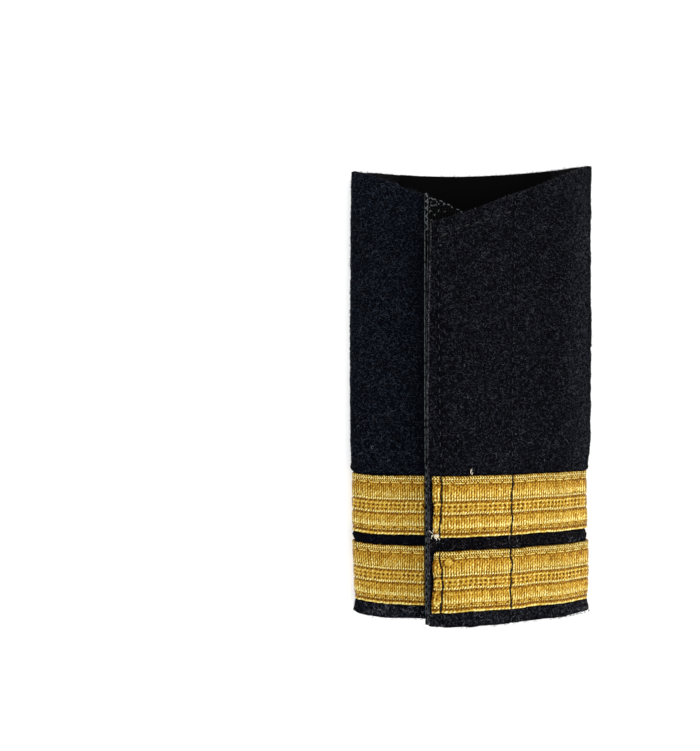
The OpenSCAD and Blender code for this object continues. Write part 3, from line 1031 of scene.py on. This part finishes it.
def middle_band(u, v, per_rib, seed):
    """The band with two rows of holes, and beads beside them. The holes and slits are painted dark, painted
    shade, and most beads paler, painted highlight.
    """
    band = 0.66 + 0.1 * beaded(u, RIB)
    light = 0.41 + 0.16 * beaded(u, RIB) + 0.06 * per_rib
    for centre, shift in HOLES:
        which = np.round((u + shift) / (2 * RIB)) * 3.7 + 0 * v
        across = apart(u + shift, 2 * RIB) + 0.10 * lumps(which, centre, 1.0, seed + 13)
        hole = np.exp(-np.abs(across / 0.29) ** 3 - np.abs((v - centre) / 0.23) ** 3)
        hole = np.clip(hole * (0.86 + 0.5 * lumps(which, 9 * centre, 1.0, seed + 4)), 0, 1)
        slit = bump_at(across - 0.5 * (v - centre), 0.14) * bump_at(v - 7.5, 0.5)
        band = band * (1 - 0.9 * hole) - 0.1 * slit
        light = light * (1 - hole) - 0.02 * hole - 0.12 * slit
    for centre, shift, share in BAND_BEADS:
        across = apart(u + shift * 2 * RIB + 0.4 * (v - centre), 2 * RIB)
        bead = bump_at(across, 0.3) * bump_at(v - centre, 0.2)
        band = band + 0.25 * bead
        light = light + share * bead
    yield inside(v, *BAND, 0.12), band, light


def dark_dips(u, v, per_rib):
    speckle = 0.26 * beaded(u + 0.2, 2 * RIB) ** 2 + 0.1 * per_rib
    for low, high, dark in DIPS:
        yield inside(v, low, high, 0.1), 0.02, dark + speckle


def machine_stitches(u, v, per_rib):
    for centre, bright in SEWN:
        line = ridge(v - centre, 0.17) * stitched(u + centre)
        hole = 1 - stitched(u + centre)
        light = 0.22 + (bright - 0.22) * line - 0.35 * hole + 0.08 * per_rib
        yield inside(v, centre - 0.19, centre + 0.19, 0.05), 0.2 + 0.5 * line, light


def raised_cords(u, v, seed):
    for centre, half, pitch, slant, dark, bright, high in CORDS:
        slanted = u + slant * (v - centre)
        beads = beaded(slanted, pitch)
        cord = ridge(v - centre, half)
        per_bead = lumps(np.round(slanted / pitch) * 3.7, 9 * centre, 1.0, seed + 15)
        light = (dark + (bright - dark) * beads) * (0.55 + 0.45 * cord) + 0.22 * per_bead
        height = high * cord * (0.5 + 0.5 * beads)
        yield inside(v, centre - half, centre + half, 0.05), height, light


def weave(u, v, seed):
    """Height of the weave from 0 to 1 and its tone from 0, brown, painted shade, to 1, pale gold, painted
    highlight.
    """
    u = u + 0.10 * lumps(u, v, 2.6, seed) + 0.04 * lumps(u, v, 0.9, seed + 1)
    v = v + 0.04 * lumps(u, 0 * v, 1.3, seed + 9)
    per_rib = lumps(np.round(u / RIB) * 3.7, 0 * v, 1.0, seed + 2)
    # Under the layers, ribs are painted paler on their crests and darker between them: painted highlight and
    # shade.
    height, tone = 0 * (u + v), 0.12 + 0.3 * beaded(u, RIB) + 0 * v
    layers = (
        *ribbed_fields(u, v, per_rib, seed), *middle_band(u, v, per_rib, seed), *dark_dips(u, v, per_rib),
        *machine_stitches(u, v, per_rib), *raised_cords(u, v, seed),
    )
    for mask, layer_height, layer_tone in layers:
        height = height * (1 - mask) + mask * layer_height
        tone = tone * (1 - mask) + mask * layer_tone
    return height, tone


# Outline of the braids' turned-in ends: row, how far it stands back
UPPER_END = [
    (0, -0.24), (1.7, -0.14), (2.0, 0.06), (2.5, -0.1), (5.4, -0.06), (5.85, 0.5), (6.4, 0.16),
    (8.2, 0.18), (8.9, 0.5), (9.4, -0.02), (12, -0.06), (13.2, 0.06), (14.2, 0.32),
]
LOWER_END = [
    (0, 0.46), (0.7, 0.16), (1.4, 0.5), (2.1, -0.08), (4.5, -0.04), (5.9, 0.48), (6.4, 0.12),
    (8.2, 0.14), (8.9, 0.42), (9.5, -0.16), (12, -0.32), (14.2, -0.32),
]
# The turned-in end: how long it is, over how much it eases off, and how far in its outline reaches
HEM = 1.85
HEM_EASE = 0.5
END_REACH = 1.6
# How round the braid's long edges and its ends are
SIDE_ROUND = 0.18
END_ROUND = 0.35
# A round lump in the lower braid: its place and radius
LUMP = (3.5, 2.4, 1.1)


def braid_columns(length, back_from, back_to):
    """Places along a braid, further apart under the sleeve's back."""
    return np.concatenate([
        [0, 0.03], np.arange(0.09, back_from, RIB / 5), np.arange(back_from, back_to, RIB / 2.5),
        np.arange(back_to, length - 0.05, RIB / 5), [length],
    ])


def with_lump(u, v, height, tone):
    """The weave's height and tone, once a round lump pushes it up. The tone is even on the lump and painted
    darker in a ring round its foot, painted shade.
    """
    away = np.hypot(u - LUMP[0], v - LUMP[1]) / LUMP[2]
    height = height * (0.6 + 0.4 * np.clip(away, 0, 1)) + 0.9 * np.sqrt(np.clip(1 - away**2, 0, 1))
    within = eased(np.clip(3 - 3 * away, 0, 1))
    return height, tone * (1 - within) + 0.6 * within - 0.26 * bump_at(away - 1, 0.2)


def thread_marks(s, y):
    """Where the two stitch lines press on a braid, and the strips beside them where the braid is painted
    paler, painted highlight.
    """
    thread, beside = 0, 0
    for line in (FIRST_STITCH, SECOND_STITCH):
        away = s - s_flap(looked_up(y, line) + stitch_wave(y))
        thread = thread + bump_at(away, 0.24)
        beside = beside + bump_at(np.abs(away) - 0.42, 0.16)
    return thread, beside


def braid_faces(rows, cols):
    """Quads and triangles of a braid: a grid of points, and a back of three more rows."""
    top = np.arange(rows * cols).reshape(rows, cols)
    low, mid, high = (rows * cols + np.arange(cols) + k * cols for k in range(3))

    def strip(a, b):
        return np.stack([a[:-1], a[1:], b[1:], b[:-1]], 1)

    def fan(column, end):
        ring = np.concatenate([[low[end]], column, [high[end]]])
        return np.stack([np.full(len(ring) - 1, mid[end]), ring[1:], ring[:-1]], 1)

    quads = np.concatenate([
        grid_faces(rows, cols), grid_faces(3, cols, first=rows * cols, flip=True), strip(low, top[0]),
        strip(top[-1], high),
    ])
    return quads, np.concatenate([fan(top[:, 0], 0)[:, ::-1], fan(top[:, -1], -1)])


def make_braid(name, node, low, seed, material):
    start = s_flap(FLAP_X + BRAID_INSET)
    length = start - s_under(HOOK_LEFT + 0.12)
    past_fold = 4.5
    u = braid_columns(length, start - S_FLAP_START + past_fold, start - S_UNDER_END - past_fold)
    v = BRAID_ROWS
    grid_u, grid_v = np.meshgrid(u, v)
    height, tone = weave(grid_u, grid_v, seed)
    if node == "braid_lower":
        height, tone = with_lump(grid_u, grid_v, height, tone)
    # The turned-in end is thicker, with a lumpy outline
    end_table = LOWER_END if node == "braid_lower" else UPPER_END
    end_shift = looked_up(v, end_table) + 0.05 * lumps(v, 0, 0.7, seed + 5)
    hem = eased(np.clip((HEM - grid_u) / HEM_EASE, 0, 1))
    s = start - grid_u - np.clip(1 - grid_u / END_REACH, 0, 1) * end_shift[:, None]
    y = low + braid_shift(s, low) + BRAID_W - grid_v
    y = y + 0.08 * lumps(grid_u, 0, 1.1, seed + 7) * (np.abs(grid_v / BRAID_W - 0.5) * 2) ** 8
    thickness = 0.5 + 0.30 * height + 0.2 * hem * (0.6 + 0.4 * height)
    thickness = thickness + 0.04 * lumps(grid_u, grid_v, 5, seed + 8)
    thread, beside = thread_marks(s, y)
    # The hem's tone is mottled, and painted darker at the braid's turned-in end, painted shade where it
    # rounds down to the felt.
    hem_mottle_and_end_shade = lumps(grid_u * 1.4, grid_v * 1.2, 0.5, seed + 21) - 0.6 * bump_at(grid_u - 0.05, 0.2)
    # Along the stitch lines the braid is painted darker, painted shade in their grooves, and beside them
    # paler, painted highlight.
    tone = np.clip(tone + 0.32 * hem * hem_mottle_and_end_shade - 0.45 * thread + 0.14 * beside, 0, 1)
    side = np.minimum(grid_v, BRAID_W - grid_v)
    end = np.minimum(grid_u, length - grid_u)
    drop = rounded(side, SIDE_ROUND) + rounded(end, END_ROUND)
    top = place(s, y, LAYER_GAP + np.clip(thickness - 0.30 * thread - drop, 0.03, None)).reshape(-1, 3)
    back_rows = [0, len(v) // 2, -1]
    back_points = place(s[back_rows], y[back_rows], LAYER_GAP / 2).reshape(-1, 3)
    unrolled = np.concatenate([
        np.stack([grid_u, grid_v], -1).reshape(-1, 2),
        np.stack(np.meshgrid(u, [0, BRAID_W / 2, BRAID_W]), -1).reshape(-1, 2),
    ])
    tones = np.concatenate([tone.ravel(), np.full(len(back_points), 0.3)])
    points = np.concatenate([top, back_points])
    braid = make_mesh(name, points, *braid_faces(*grid_u.shape), material, unrolled, tones)
    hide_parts(node)
    return braid


# Tapes and lining

# A tape's woven edge: its width, and the pitch of its cords
SELVEDGE = 1.3
SELVEDGE_PITCH = 0.42
TAPE_ROUND = 0.12
LINING_RIB = 0.9
# How far the hook tape's left edge and lower end are off the solid: place along the sleeve, shift
TAPE_SHIFT = [(-56, -0.3), (-20, -0.28), (-17, -0.2), (47, -0.18)]
TAPE_END = 1.4
# How far the second cord is inside the tape's left edge
CORD_INSET = [
    (-56, 0.48), (-20, 0.48), (-15, 0.5), (10, 0.5), (17, 0.52), (24, 0.58), (29, 0.68), (33, 0.74),
    (47, 0.76),
]


def tape_push(s, y):
    """The hook tape shows more above the braids than beside them."""
    near = eased(np.clip((s - s_under(HOOK_LEFT) + 3) / 3, 0, 1))
    return near * (looked_up(y, TAPE_SHIFT) + 0.05 * lumps(y, 0, 2.3, 61))


def make_tape(name, node, s_right, s_left, outer, inner, low, top_short, push, material):
    """A tape with a woven edge on both sides.

    low is its lower end, and top_short how far its upper end is short of the felt's.
    push is 1 where its left edge follows TAPE_SHIFT, or 0.
    """
    s = spaced([(s_right, 0.2), (s_right + 1.6, 0.2), (s_left - 1.6, 0.6), (s_left, 0.13)])
    s, y, edge = cloth_grid(s, low, upper_end(s) - top_short, 0.8)
    side = np.minimum(s - s_right, s_left - s)
    selvedge = np.clip(SELVEDGE - side, 0, 1)
    cords = 0.07 * np.cos(2 * math.pi * side / SELVEDGE_PITCH) * np.clip(selvedge * 4, 0, 1)
    thin = 0.45 * eased(np.clip((1.5 - side) / 0.5, 0, 1))
    drop = rounded(edge, TAPE_ROUND)
    face, back_face = outer - thin + cords - drop, inner + drop
    rim = 0 * s + (outer - thin + inner) / 2
    tape = slab(name, s + push * tape_push(s, y), y, face, back_face, rim, material)
    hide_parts(node)
    return tape


def make_lining(material):
    ends = s_back(LINING_SHIFT - LINING_W / 2), s_back(LINING_SHIFT + LINING_W / 2)
    s = spaced([(end, 0.3) for end in ends])
    s, y, edge = cloth_grid(s, BOTTOM_Y + LINING_INSET, upper_end(s) - LINING_INSET, 3.0)
    rib_height = 0.05 * np.cos(2 * math.pi * s / LINING_RIB) + 0.08 * lumps(s, y, 5, 23)
    outer = 0 * s - FELT_T - LAYER_GAP
    face = outer - LINING_T + 0.2 - rib_height + 0.5 * rounded(edge, 0.4)
    lining = slab("lining_cloth", s, y, outer, face, outer - 0.3, material)
    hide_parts("back_lining")
    return lining


# Stitches and loose ends

BRAID_FACE = 0.66
TAPE_FACE = LAYER_GAP + HOOK_T - 0.55
# One stitch: shares of its way, its height and its thickness there
STITCH_T = np.linspace(0, 1, 8)[None]
STITCH_ARCH = (4 * STITCH_T * (1 - STITCH_T)) ** 0.5
STITCH_TAPER = np.array([0, 0.9, 1, 1, 1, 1, 0.9, 0])
# The two long lines. Their stitches overlap a little.
STITCHES_FROM = BOTTOM_Y + 0.9
STITCH_PITCH = 2.45
STITCH_OVERLAP = 0.08
# Stitches of the slanted line that show: x and place along the sleeve, from and to
SLANT_DASHES = [
    (-9.1, 35.3, -7.2, 36.1), (-5.6, 36.8, -4.3, 37.5), (-3.4, 37.7, -2.15, 38.3),
    (-0.9, 38.5, 0.5, 39.1), (1.4, 39.35, 2.9, 39.95), (4.3, 40.4, 5.6, 40.95), (7.0, 41.4, 8.4, 41.95),
]


def along(s, y, out):
    """Points of a strand from its rows of s, y and out, and the way outwards there."""
    return place(s, y, out), outward(s)


def stitch_rows(low, high):
    """Places along the sleeve for a line's stitches: stitches by points."""
    n = int((high - low) / STITCH_PITCH)
    at = np.arange(n)[:, None] + (1 + STITCH_OVERLAP) * STITCH_T - STITCH_OVERLAP / 2
    return low + (high - low) * at / n


def flap_face(s, y):
    """What a stitch lies on: the braid's face or the felt's."""
    cover = under_braid(s, y)
    return cover * BRAID_FACE + (1 - cover) * (felt_relief(s, y) + 0.02)


def make_flap_stitches(on_braid, on_felt):
    """The two long lines: whole stitches on the braids, only the tops of stitches on the felt."""
    rows = []
    for line in (FIRST_STITCH, SECOND_STITCH):
        y = stitch_rows(STITCHES_FROM, float(flap_top(line[-1][1])) - 1.0)
        middle = y.mean(1, keepdims=True)
        covered = under_braid(s_flap(line[0][1]), middle)
        y = middle + (y - middle) * (0.42 + 0.58 * covered)
        s = s_flap(looked_up(y, line) + stitch_wave(y))
        out = flap_face(s, y) - 0.14 + (0.40 - 0.22 * covered) * STITCH_ARCH
        rows.append((s, y, out, covered + 0 * s))
    s, y, out, covered = (np.concatenate([row[k] for row in rows]) for k in range(4))
    covered = covered[:, 0] > 0.5
    # On the felt the thread gets the grey material, which paints its glints.
    for name, kept, radius, material in (
        ("braid_stitches", covered, 0.155, on_braid), ("felt_stitches", ~covered, 0.09, on_felt),
    ):
        piece = strands(name, *along(s[kept], y[kept], out[kept]), radius * STITCH_TAPER, material, 6)


def make_crossing_thread(material):
    """A bare length of the second line's thread between the braids."""
    y = UPPER_BRAID_Y + 0.35 - 1.15 * STITCH_T
    s = s_flap(looked_up(y, SECOND_STITCH) + 0.2 - 0.45 * STITCH_T)
    out = flap_face(s, y) - 0.08 + 0.3 * STITCH_ARCH
    piece = strands("crossing_thread", *along(s, y, out), 0.12 * STITCH_TAPER, material, 6)


def make_slanted_stitches(material, dark):
    # The dashes get the grey material, painted glints of the black thread.
    x0, y0, x1, y1 = (np.array(SLANT_DASHES)[:, k, None] for k in range(4))
    s, y = s_flap(x0 + (x1 - x0) * STITCH_T), y0 + (y1 - y0) * STITCH_T
    out = flap_face(s, y) - 0.12 + 0.34 * STITCH_ARCH
    piece = strands("slanted_stitches", *along(s, y, out), 0.10 * STITCH_TAPER, material, 6)
    # Black strands just below the dashes are a painted shadow on the felt.
    lower = along(s, y - 0.26, out - 0.06)
    piece = strands("slanted_shadow_stitches", *lower, 0.13 * STITCH_TAPER, dark, 6)


# Single stitches on the top of the hook tape: x, place along the sleeve, lean, length
TAPE_TICKS = [
    (-11.6, 46.1, 1.7, 1.2), (-10.19, 45.07, 2.3, 0.9), (-9.6, 44.9, -0.6, 0.7),
    (-8.2, 44.45, -0.4, 0.8), (-7.5, 43.8, -0.9, 0.7), (-6.6, 43.55, -0.3, 0.8),
    (-5.85, 42.95, -0.8, 0.6), (-4.45, 42.42, -0.3, 0.8), (-3.6, 41.9, -0.7, 0.6),
    (-10.24, 43.44, -0.3, 0.9), (-10.72, 42.13, 1.1, 1.0), (-10.38, 40.01, -0.2, 0.8),
    (-8.75, 42.14, 1.2, 0.8), (-9.6, 41.2, 1.0, 0.6), (-7.4, 41.9, 0.3, 0.5), (-9.3, 43.6, 2.0, 0.5),
]
ZIGZAG_PITCH = 1.72
# Between these places the flap's edge hides the zigzag's way across
ZIGZAG_HIDDEN = (-18, 38)


def tape_ticks(x, y, lean, long, out):
    """Rows of s, y and out for single stitches round x, y."""
    ahead = long * (STITCH_T - 0.5)
    return s_under(x + ahead * np.cos(lean)), y + ahead * np.sin(lean), TAPE_FACE + out + 0 * x


def make_tape_stitches(material):
    """A zigzag along the hook tape's left edge, and single stitches on its upper end."""
    rng = np.random.default_rng(401)
    rows = []
    y_low, y_high = BOTTOM_Y + 0.3, float(under_top(HOOK_LEFT)) - 0.4
    count = int((y_high - y_low) / ZIGZAG_PITCH)
    y0 = y_high - ZIGZAG_PITCH * np.arange(count)[:, None]
    left = s_under(HOOK_LEFT) + looked_up(y0, TAPE_SHIFT) - 0.08
    across = ~((y0 > ZIGZAG_HIDDEN[0]) & (y0 < ZIGZAG_HIDDEN[1]))
    half = ZIGZAG_PITCH / 2
    for lean, shift in ((1, 0.0), (-1, half)):
        wide = looked_up(y0, CORD_INSET) * across + rng.normal(0, 0.05, (count, 1))
        run = STITCH_T if lean > 0 else 1 - STITCH_T
        bow = 0.3 * np.sin(math.pi * STITCH_T) * lean * (1 + 0.4 * rng.normal(0, 1, (count, 1)))
        y = y0 - shift - half * STITCH_T + bow + rng.normal(0, 0.08, (count, 1))
        out = TAPE_FACE - 0.22 + 0.36 * STITCH_ARCH + rng.normal(0, 0.05, (count, 1))
        rows.append((left - wide * run, y, out))
    ticks = (np.array(TAPE_TICKS)[:, k, None] for k in range(4))
    rows.append(tape_ticks(*ticks, 0.32 * STITCH_ARCH - 0.1))
    n = 12
    x = HOOK_LEFT + 0.9 + rng.gamma(1.6, 1.0, (n, 1))
    y = under_top(x) - 0.6 - rng.gamma(1.5, 1.2, (n, 1))
    lean, long = rng.uniform(0, math.pi, (n, 1)), rng.uniform(0.25, 0.5, (n, 1))
    rows.append(tape_ticks(x, y, lean, long, 0.2 * STITCH_ARCH - 0.04))
    s, y, out = (np.concatenate([row[k] for row in rows]) for k in range(3))
    piece = strands("hook_tape_stitches", *along(s, y, out), 0.11 * STITCH_TAPER, material, 5)


def make_tape_cords(material):
    """Raised woven cords beside the hook tape's left edge."""
    y = np.linspace(BOTTOM_Y - TAPE_END + 0.1, float(under_top(HOOK_LEFT)) - 0.2, 240)[None]
    left = s_under(HOOK_LEFT) + looked_up(y, TAPE_SHIFT)
    inset = np.stack([0 * y[0] + 0.05, looked_up(y[0], CORD_INSET)])
    s = left - inset + 0.05 * lumps(y, inset * 9, 1.1, 71)
    radii = np.full(s.shape, 0.105)
    radii[:, [0, -1]] = 0
    piece = strands("hook_tape_cords", *along(s, y + 0 * s, TAPE_FACE - 0.02 + 0 * s), radii, material, 6)


def make_hooks(material):
    """Fine hooks on the part of the hook tape that shows above the flap."""
    x, y = np.meshgrid(np.arange(HOOK_LEFT + 1.6, -1.0, 0.55), np.arange(34.0, 47.0, 0.6))
    rng = np.random.default_rng(211)
    x, y = x + rng.uniform(-0.08, 0.08, x.shape), y + rng.uniform(-0.08, 0.08, y.shape)
    kept = (y < under_top(x) - 1.3) & (y > flap_top(np.maximum(x, FLAP_X)) - 1.5)
    x, y = x[kept][:, None], y[kept][:, None]
    turn = math.pi * 1.35 * np.linspace(0, 1, 7)[None]
    out = LAYER_GAP + HOOK_T - 0.45 + 0.42 * np.sin(turn) + 0 * x
    ahead = 0.17 * (1 - np.cos(turn))
    radii = 0.06 * np.array([0, 1, 1, 1, 1, 0.8, 0])
    piece = strands("hook_tape_hooks", *along(s_under(x) + 0 * turn, y + ahead, out), radii, material, 4)


# Bunches of loose strands on the flap: seed, count, x and place along the sleeve of their start, spread
# of both, heading, its spread, length, bend, its spread, height over the felt, rise.
# Three make a tuft at the upper braid's turned-in end, and one a thread end above the braid.
BUNCHES = [
    (301, 26, -9.9, -34.0, 0.30, 0.24, -1.2, 0.9, 0.6, 0.0, 1.2, 0.75, 0.2),
    (303, 3, -9.6, -34.5, 0.2, 0.15, -2.2, 0.5, 0.6, 0.0, 0.7, 0.5, 0.2),
    (307, 5, -10.4, -33.9, 0.1, 0.2, 0.35, 0.35, 1.2, 0.0, 1.2, 0.5, 0.3),
    (305, 3, -1.75, -20.1, 0.05, 0.05, 0.3, 0.15, 1.45, 1.2, 0.15, 0.5, 0.4),
]
LOOSE_POINTS = 9


def bunch(seed, count, x, y, x_spread, y_spread, heading, swing, length, bend, curl, out, rise):
    """Loose strands on the flap that start near x, y and run off towards a heading."""
    rng = np.random.default_rng(seed)
    s = s_flap(x + rng.normal(0, x_spread, count))[:, None]
    y = y + rng.normal(0, y_spread, count)[:, None]
    step = length * rng.uniform(0.5, 1.3, count)[:, None] / (LOOSE_POINTS - 1)
    t = np.linspace(0, 1, LOOSE_POINTS)
    angle = heading + rng.normal(0, swing, count)[:, None]
    angle = angle + rng.normal(bend, curl, count)[:, None] * t * 2
    s, y = s + np.cumsum(np.cos(angle) * step, 1), y + np.cumsum(np.sin(angle) * step, 1)
    return along(s, y, out + rise * rng.uniform(0.2, 1, count)[:, None] * np.sin(math.pi * 0.8 * t))


def make_loose_threads(material):
    parts = [bunch(*row) for row in BUNCHES]
    paths, ups = (np.concatenate([part[k] for part in parts]) for k in range(2))
    piece = strands("loose_threads", paths, ups, 0.07 * tapered(LOOSE_POINTS), material, 4)


def make_frayed_end(material):
    """Short gold strands at the braids' ends beside the tape."""
    rng = np.random.default_rng(331)
    count = 90
    low = np.where(rng.uniform(size=count) < 0.5, LOWER_BRAID_Y, UPPER_BRAID_Y)
    y = low + rng.uniform(0.3, BRAID_W - 0.3, count)
    s = s_under(HOOK_LEFT - 0.05) + 0 * y
    heading = math.pi + rng.normal(0, 0.5, count)
    paths, ups = fibre_paths(
        333, s, y, rng.uniform(0.3, 0.9, count), rng.uniform(0, 0.3, count), 0.0, 5, heading, 1.2,
        rng.uniform(0.2, 0.7, count)[:, None],
    )
    piece = strands("frayed_braid_ends", paths, ups, 0.05 * tapered(5), material, 4)


# Assembly

make_camera()
make_studio()

felt_material = felt_finish("navy_felt", (0.0001, 0.00015, 0.0004), (0.0026, 0.0031, 0.0056), 0.004)
fibre_under = fibre_finish("bluish_fibres", (0.0008, 0.0014, 0.0030), (0.030, 0.043, 0.067))
fibre_flap = fibre_finish("greyish_fibres", (0.0011, 0.0014, 0.0026), (0.043, 0.045, 0.062))
gold = gold_finish()
hook_web = web_finish("hook_tape_web", (0.0003, 0.0003, 0.0004), (0.0020, 0.0021, 0.0024), 0.45, 0.8)
loop_web = web_finish("loop_tape_web", (0.002, 0.002, 0.0023), (0.006, 0.006, 0.007), 0.45, 0.8)
lining_web = web_finish("lining_web", (0.0002, 0.0002, 0.0003), (0.0018, 0.0017, 0.0022), 0.9, 0.9)

fibre_pale = fibre_finish("pale_fibres", (0.05, 0.052, 0.06), (0.20, 0.20, 0.23))
# Brown fibres: on the back's rim, and in the gap between the braids on the flap, where they are painted
# reflection of the gold.
fibre_rim_and_gold_reflection = fibre_finish("brown_fibres_and_gold_reflection", (0.012, 0.008, 0.005), (0.05, 0.035, 0.022))
fibre_margin = fibre_finish("grey_fibres", (0.0014, 0.0018, 0.0024), (0.058, 0.064, 0.066))
felt = make_felt(felt_material)
# Fibres run on a little past the folds, and two kinds stay in a narrow strip of the felt
UNDER_TO = S_UNDER_END + 3.0
FLAP_FROM = S_FLAP_START - 3.0
MARGIN = (BOTTOM_Y + 0.35, LOWER_BRAID_Y)
GAP = (UPPER_BRAID_Y - BRAID_GAP, UPPER_BRAID_Y)
CURLS = {"points": 6, "lift": 0.3, "radius": 0.036}
# Fibres: name, seed, way round from and to, how many on a square millimetre, material, what differs.
# Fuzz: name, seed, count, edge, mean length, material, how deep and how far back it may start.
fibres = [
    make_fibres("felt_fibres_under", 101, s_under(HOOK_LEFT), UNDER_TO, 9.0, fibre_under),
    make_fibres("felt_fibres_flap", 103, FLAP_FROM, S_FLAP, 8.0, fibre_flap),
    # Extra fibres on the long fold make it paler, painted light where the fold catches the light from the
    # right.
    make_fibres("felt_fibres_fold_painted_light", 105, s_flap(29.6), s_flap(22.0), 11.0, fibre_flap, fade=7.5),
    make_fibres("felt_fibres_margin", 115, s_under(HOOK_LEFT), S_FLAP, 4.5, fibre_margin, reach=MARGIN),
    # Brown fibres in the gap between the braids paint the gold's reflected light on the felt.
    make_fibres("felt_fibres_gap", 117, FLAP_FROM, S_FLAP, 4.0, fibre_rim_and_gold_reflection, reach=GAP),
    make_fibres("felt_fibres_back", 107, UNDER_TO, FLAP_FROM, 2.4, fibre_under, mean=1.0),
    make_fibres("felt_curls", 109, s_under(HOOK_LEFT), UNDER_TO, 0.25, fibre_flap, mean=2.0, **CURLS),
    make_fibres("felt_curls_flap", 113, FLAP_FROM, S_FLAP, 0.2, fibre_flap, mean=2.2, **CURLS),
    make_edge_fibres("felt_fuzz_lower", 127, 220, cross_edge(S_LAP, S_FLAP, False), 0.16, fibre_flap),
    make_edge_fibres("felt_fuzz_upper", 131, 1100, cross_edge(S_LAP, S_FLAP, True), 0.36, fibre_flap),
    make_lint("felt_lint", fibre_pale),
    make_edge_fibres("felt_fuzz_rim", 137, 500, cross_edge(S_BACK, S_BACK_END, True), 0.4, fibre_rim_and_gold_reflection),
    # Pale fuzz along the flap's free edge and its strip beside the braids is a painted highlight of its cut
    # edge.
    make_edge_fibres("felt_fuzz_flap", 139, 1750, free_edge(upper_end(S_FLAP)), 0.26, fibre_pale, 0.3, 0.25),
    make_edge_fibres("felt_fuzz_strip", 141, 200, free_edge(BRAID_TOP_Y), 0.26, fibre_pale, 0.3, 0.7),
]
make_braid("braid_upper_weave", "braid_upper", UPPER_BRAID_Y, 31, gold)
make_braid("braid_lower_weave", "braid_lower", LOWER_BRAID_Y, 47, gold)
make_tape("hook_tape_base", "hook_tape", s_under(HOOK_RIGHT), s_under(HOOK_LEFT),
          LAYER_GAP + HOOK_T - 0.4, LAYER_GAP / 2, BOTTOM_Y - TAPE_END, LAYER_GAP, 1, hook_web)
make_tape("loop_tape_base", "loop_tape", s_flap(LOOP_RIGHT), s_flap(LOOP_LEFT),
          -FELT_T - LAYER_GAP, -FELT_T - LAYER_GAP - LOOP_T + 0.3, BOTTOM_Y + 0.15, LOOP_INSET, 0,
          loop_web)
make_lining(lining_web)
# Grey thread paints the glints of the black thread where it lies on the felt.
painted_glint_thread = thread_finish("painted_glint_thread", (0.032, 0.033, 0.037), 0.6)
black_thread = thread_finish("black_thread", (0.0025, 0.0025, 0.003), 0.6)
make_flap_stitches(black_thread, painted_glint_thread)
make_slanted_stitches(painted_glint_thread, black_thread)
grey_thread = thread_finish("grey_thread", (0.10, 0.112, 0.116), 0.6)
make_crossing_thread(grey_thread)
make_tape_stitches(grey_thread)
make_tape_cords(thread_finish("dark_cord", (0.056, 0.066, 0.074), 0.7, 1100, 0.06))
make_hooks(thread_finish("black_hooks", (0.001, 0.001, 0.0011), 0.6))
make_loose_threads(thread_finish("cream_thread", (0.86, 0.79, 0.63), 0.6))
make_frayed_end(thread_finish("gold_strand", (0.45, 0.28, 0.05), 0.5))
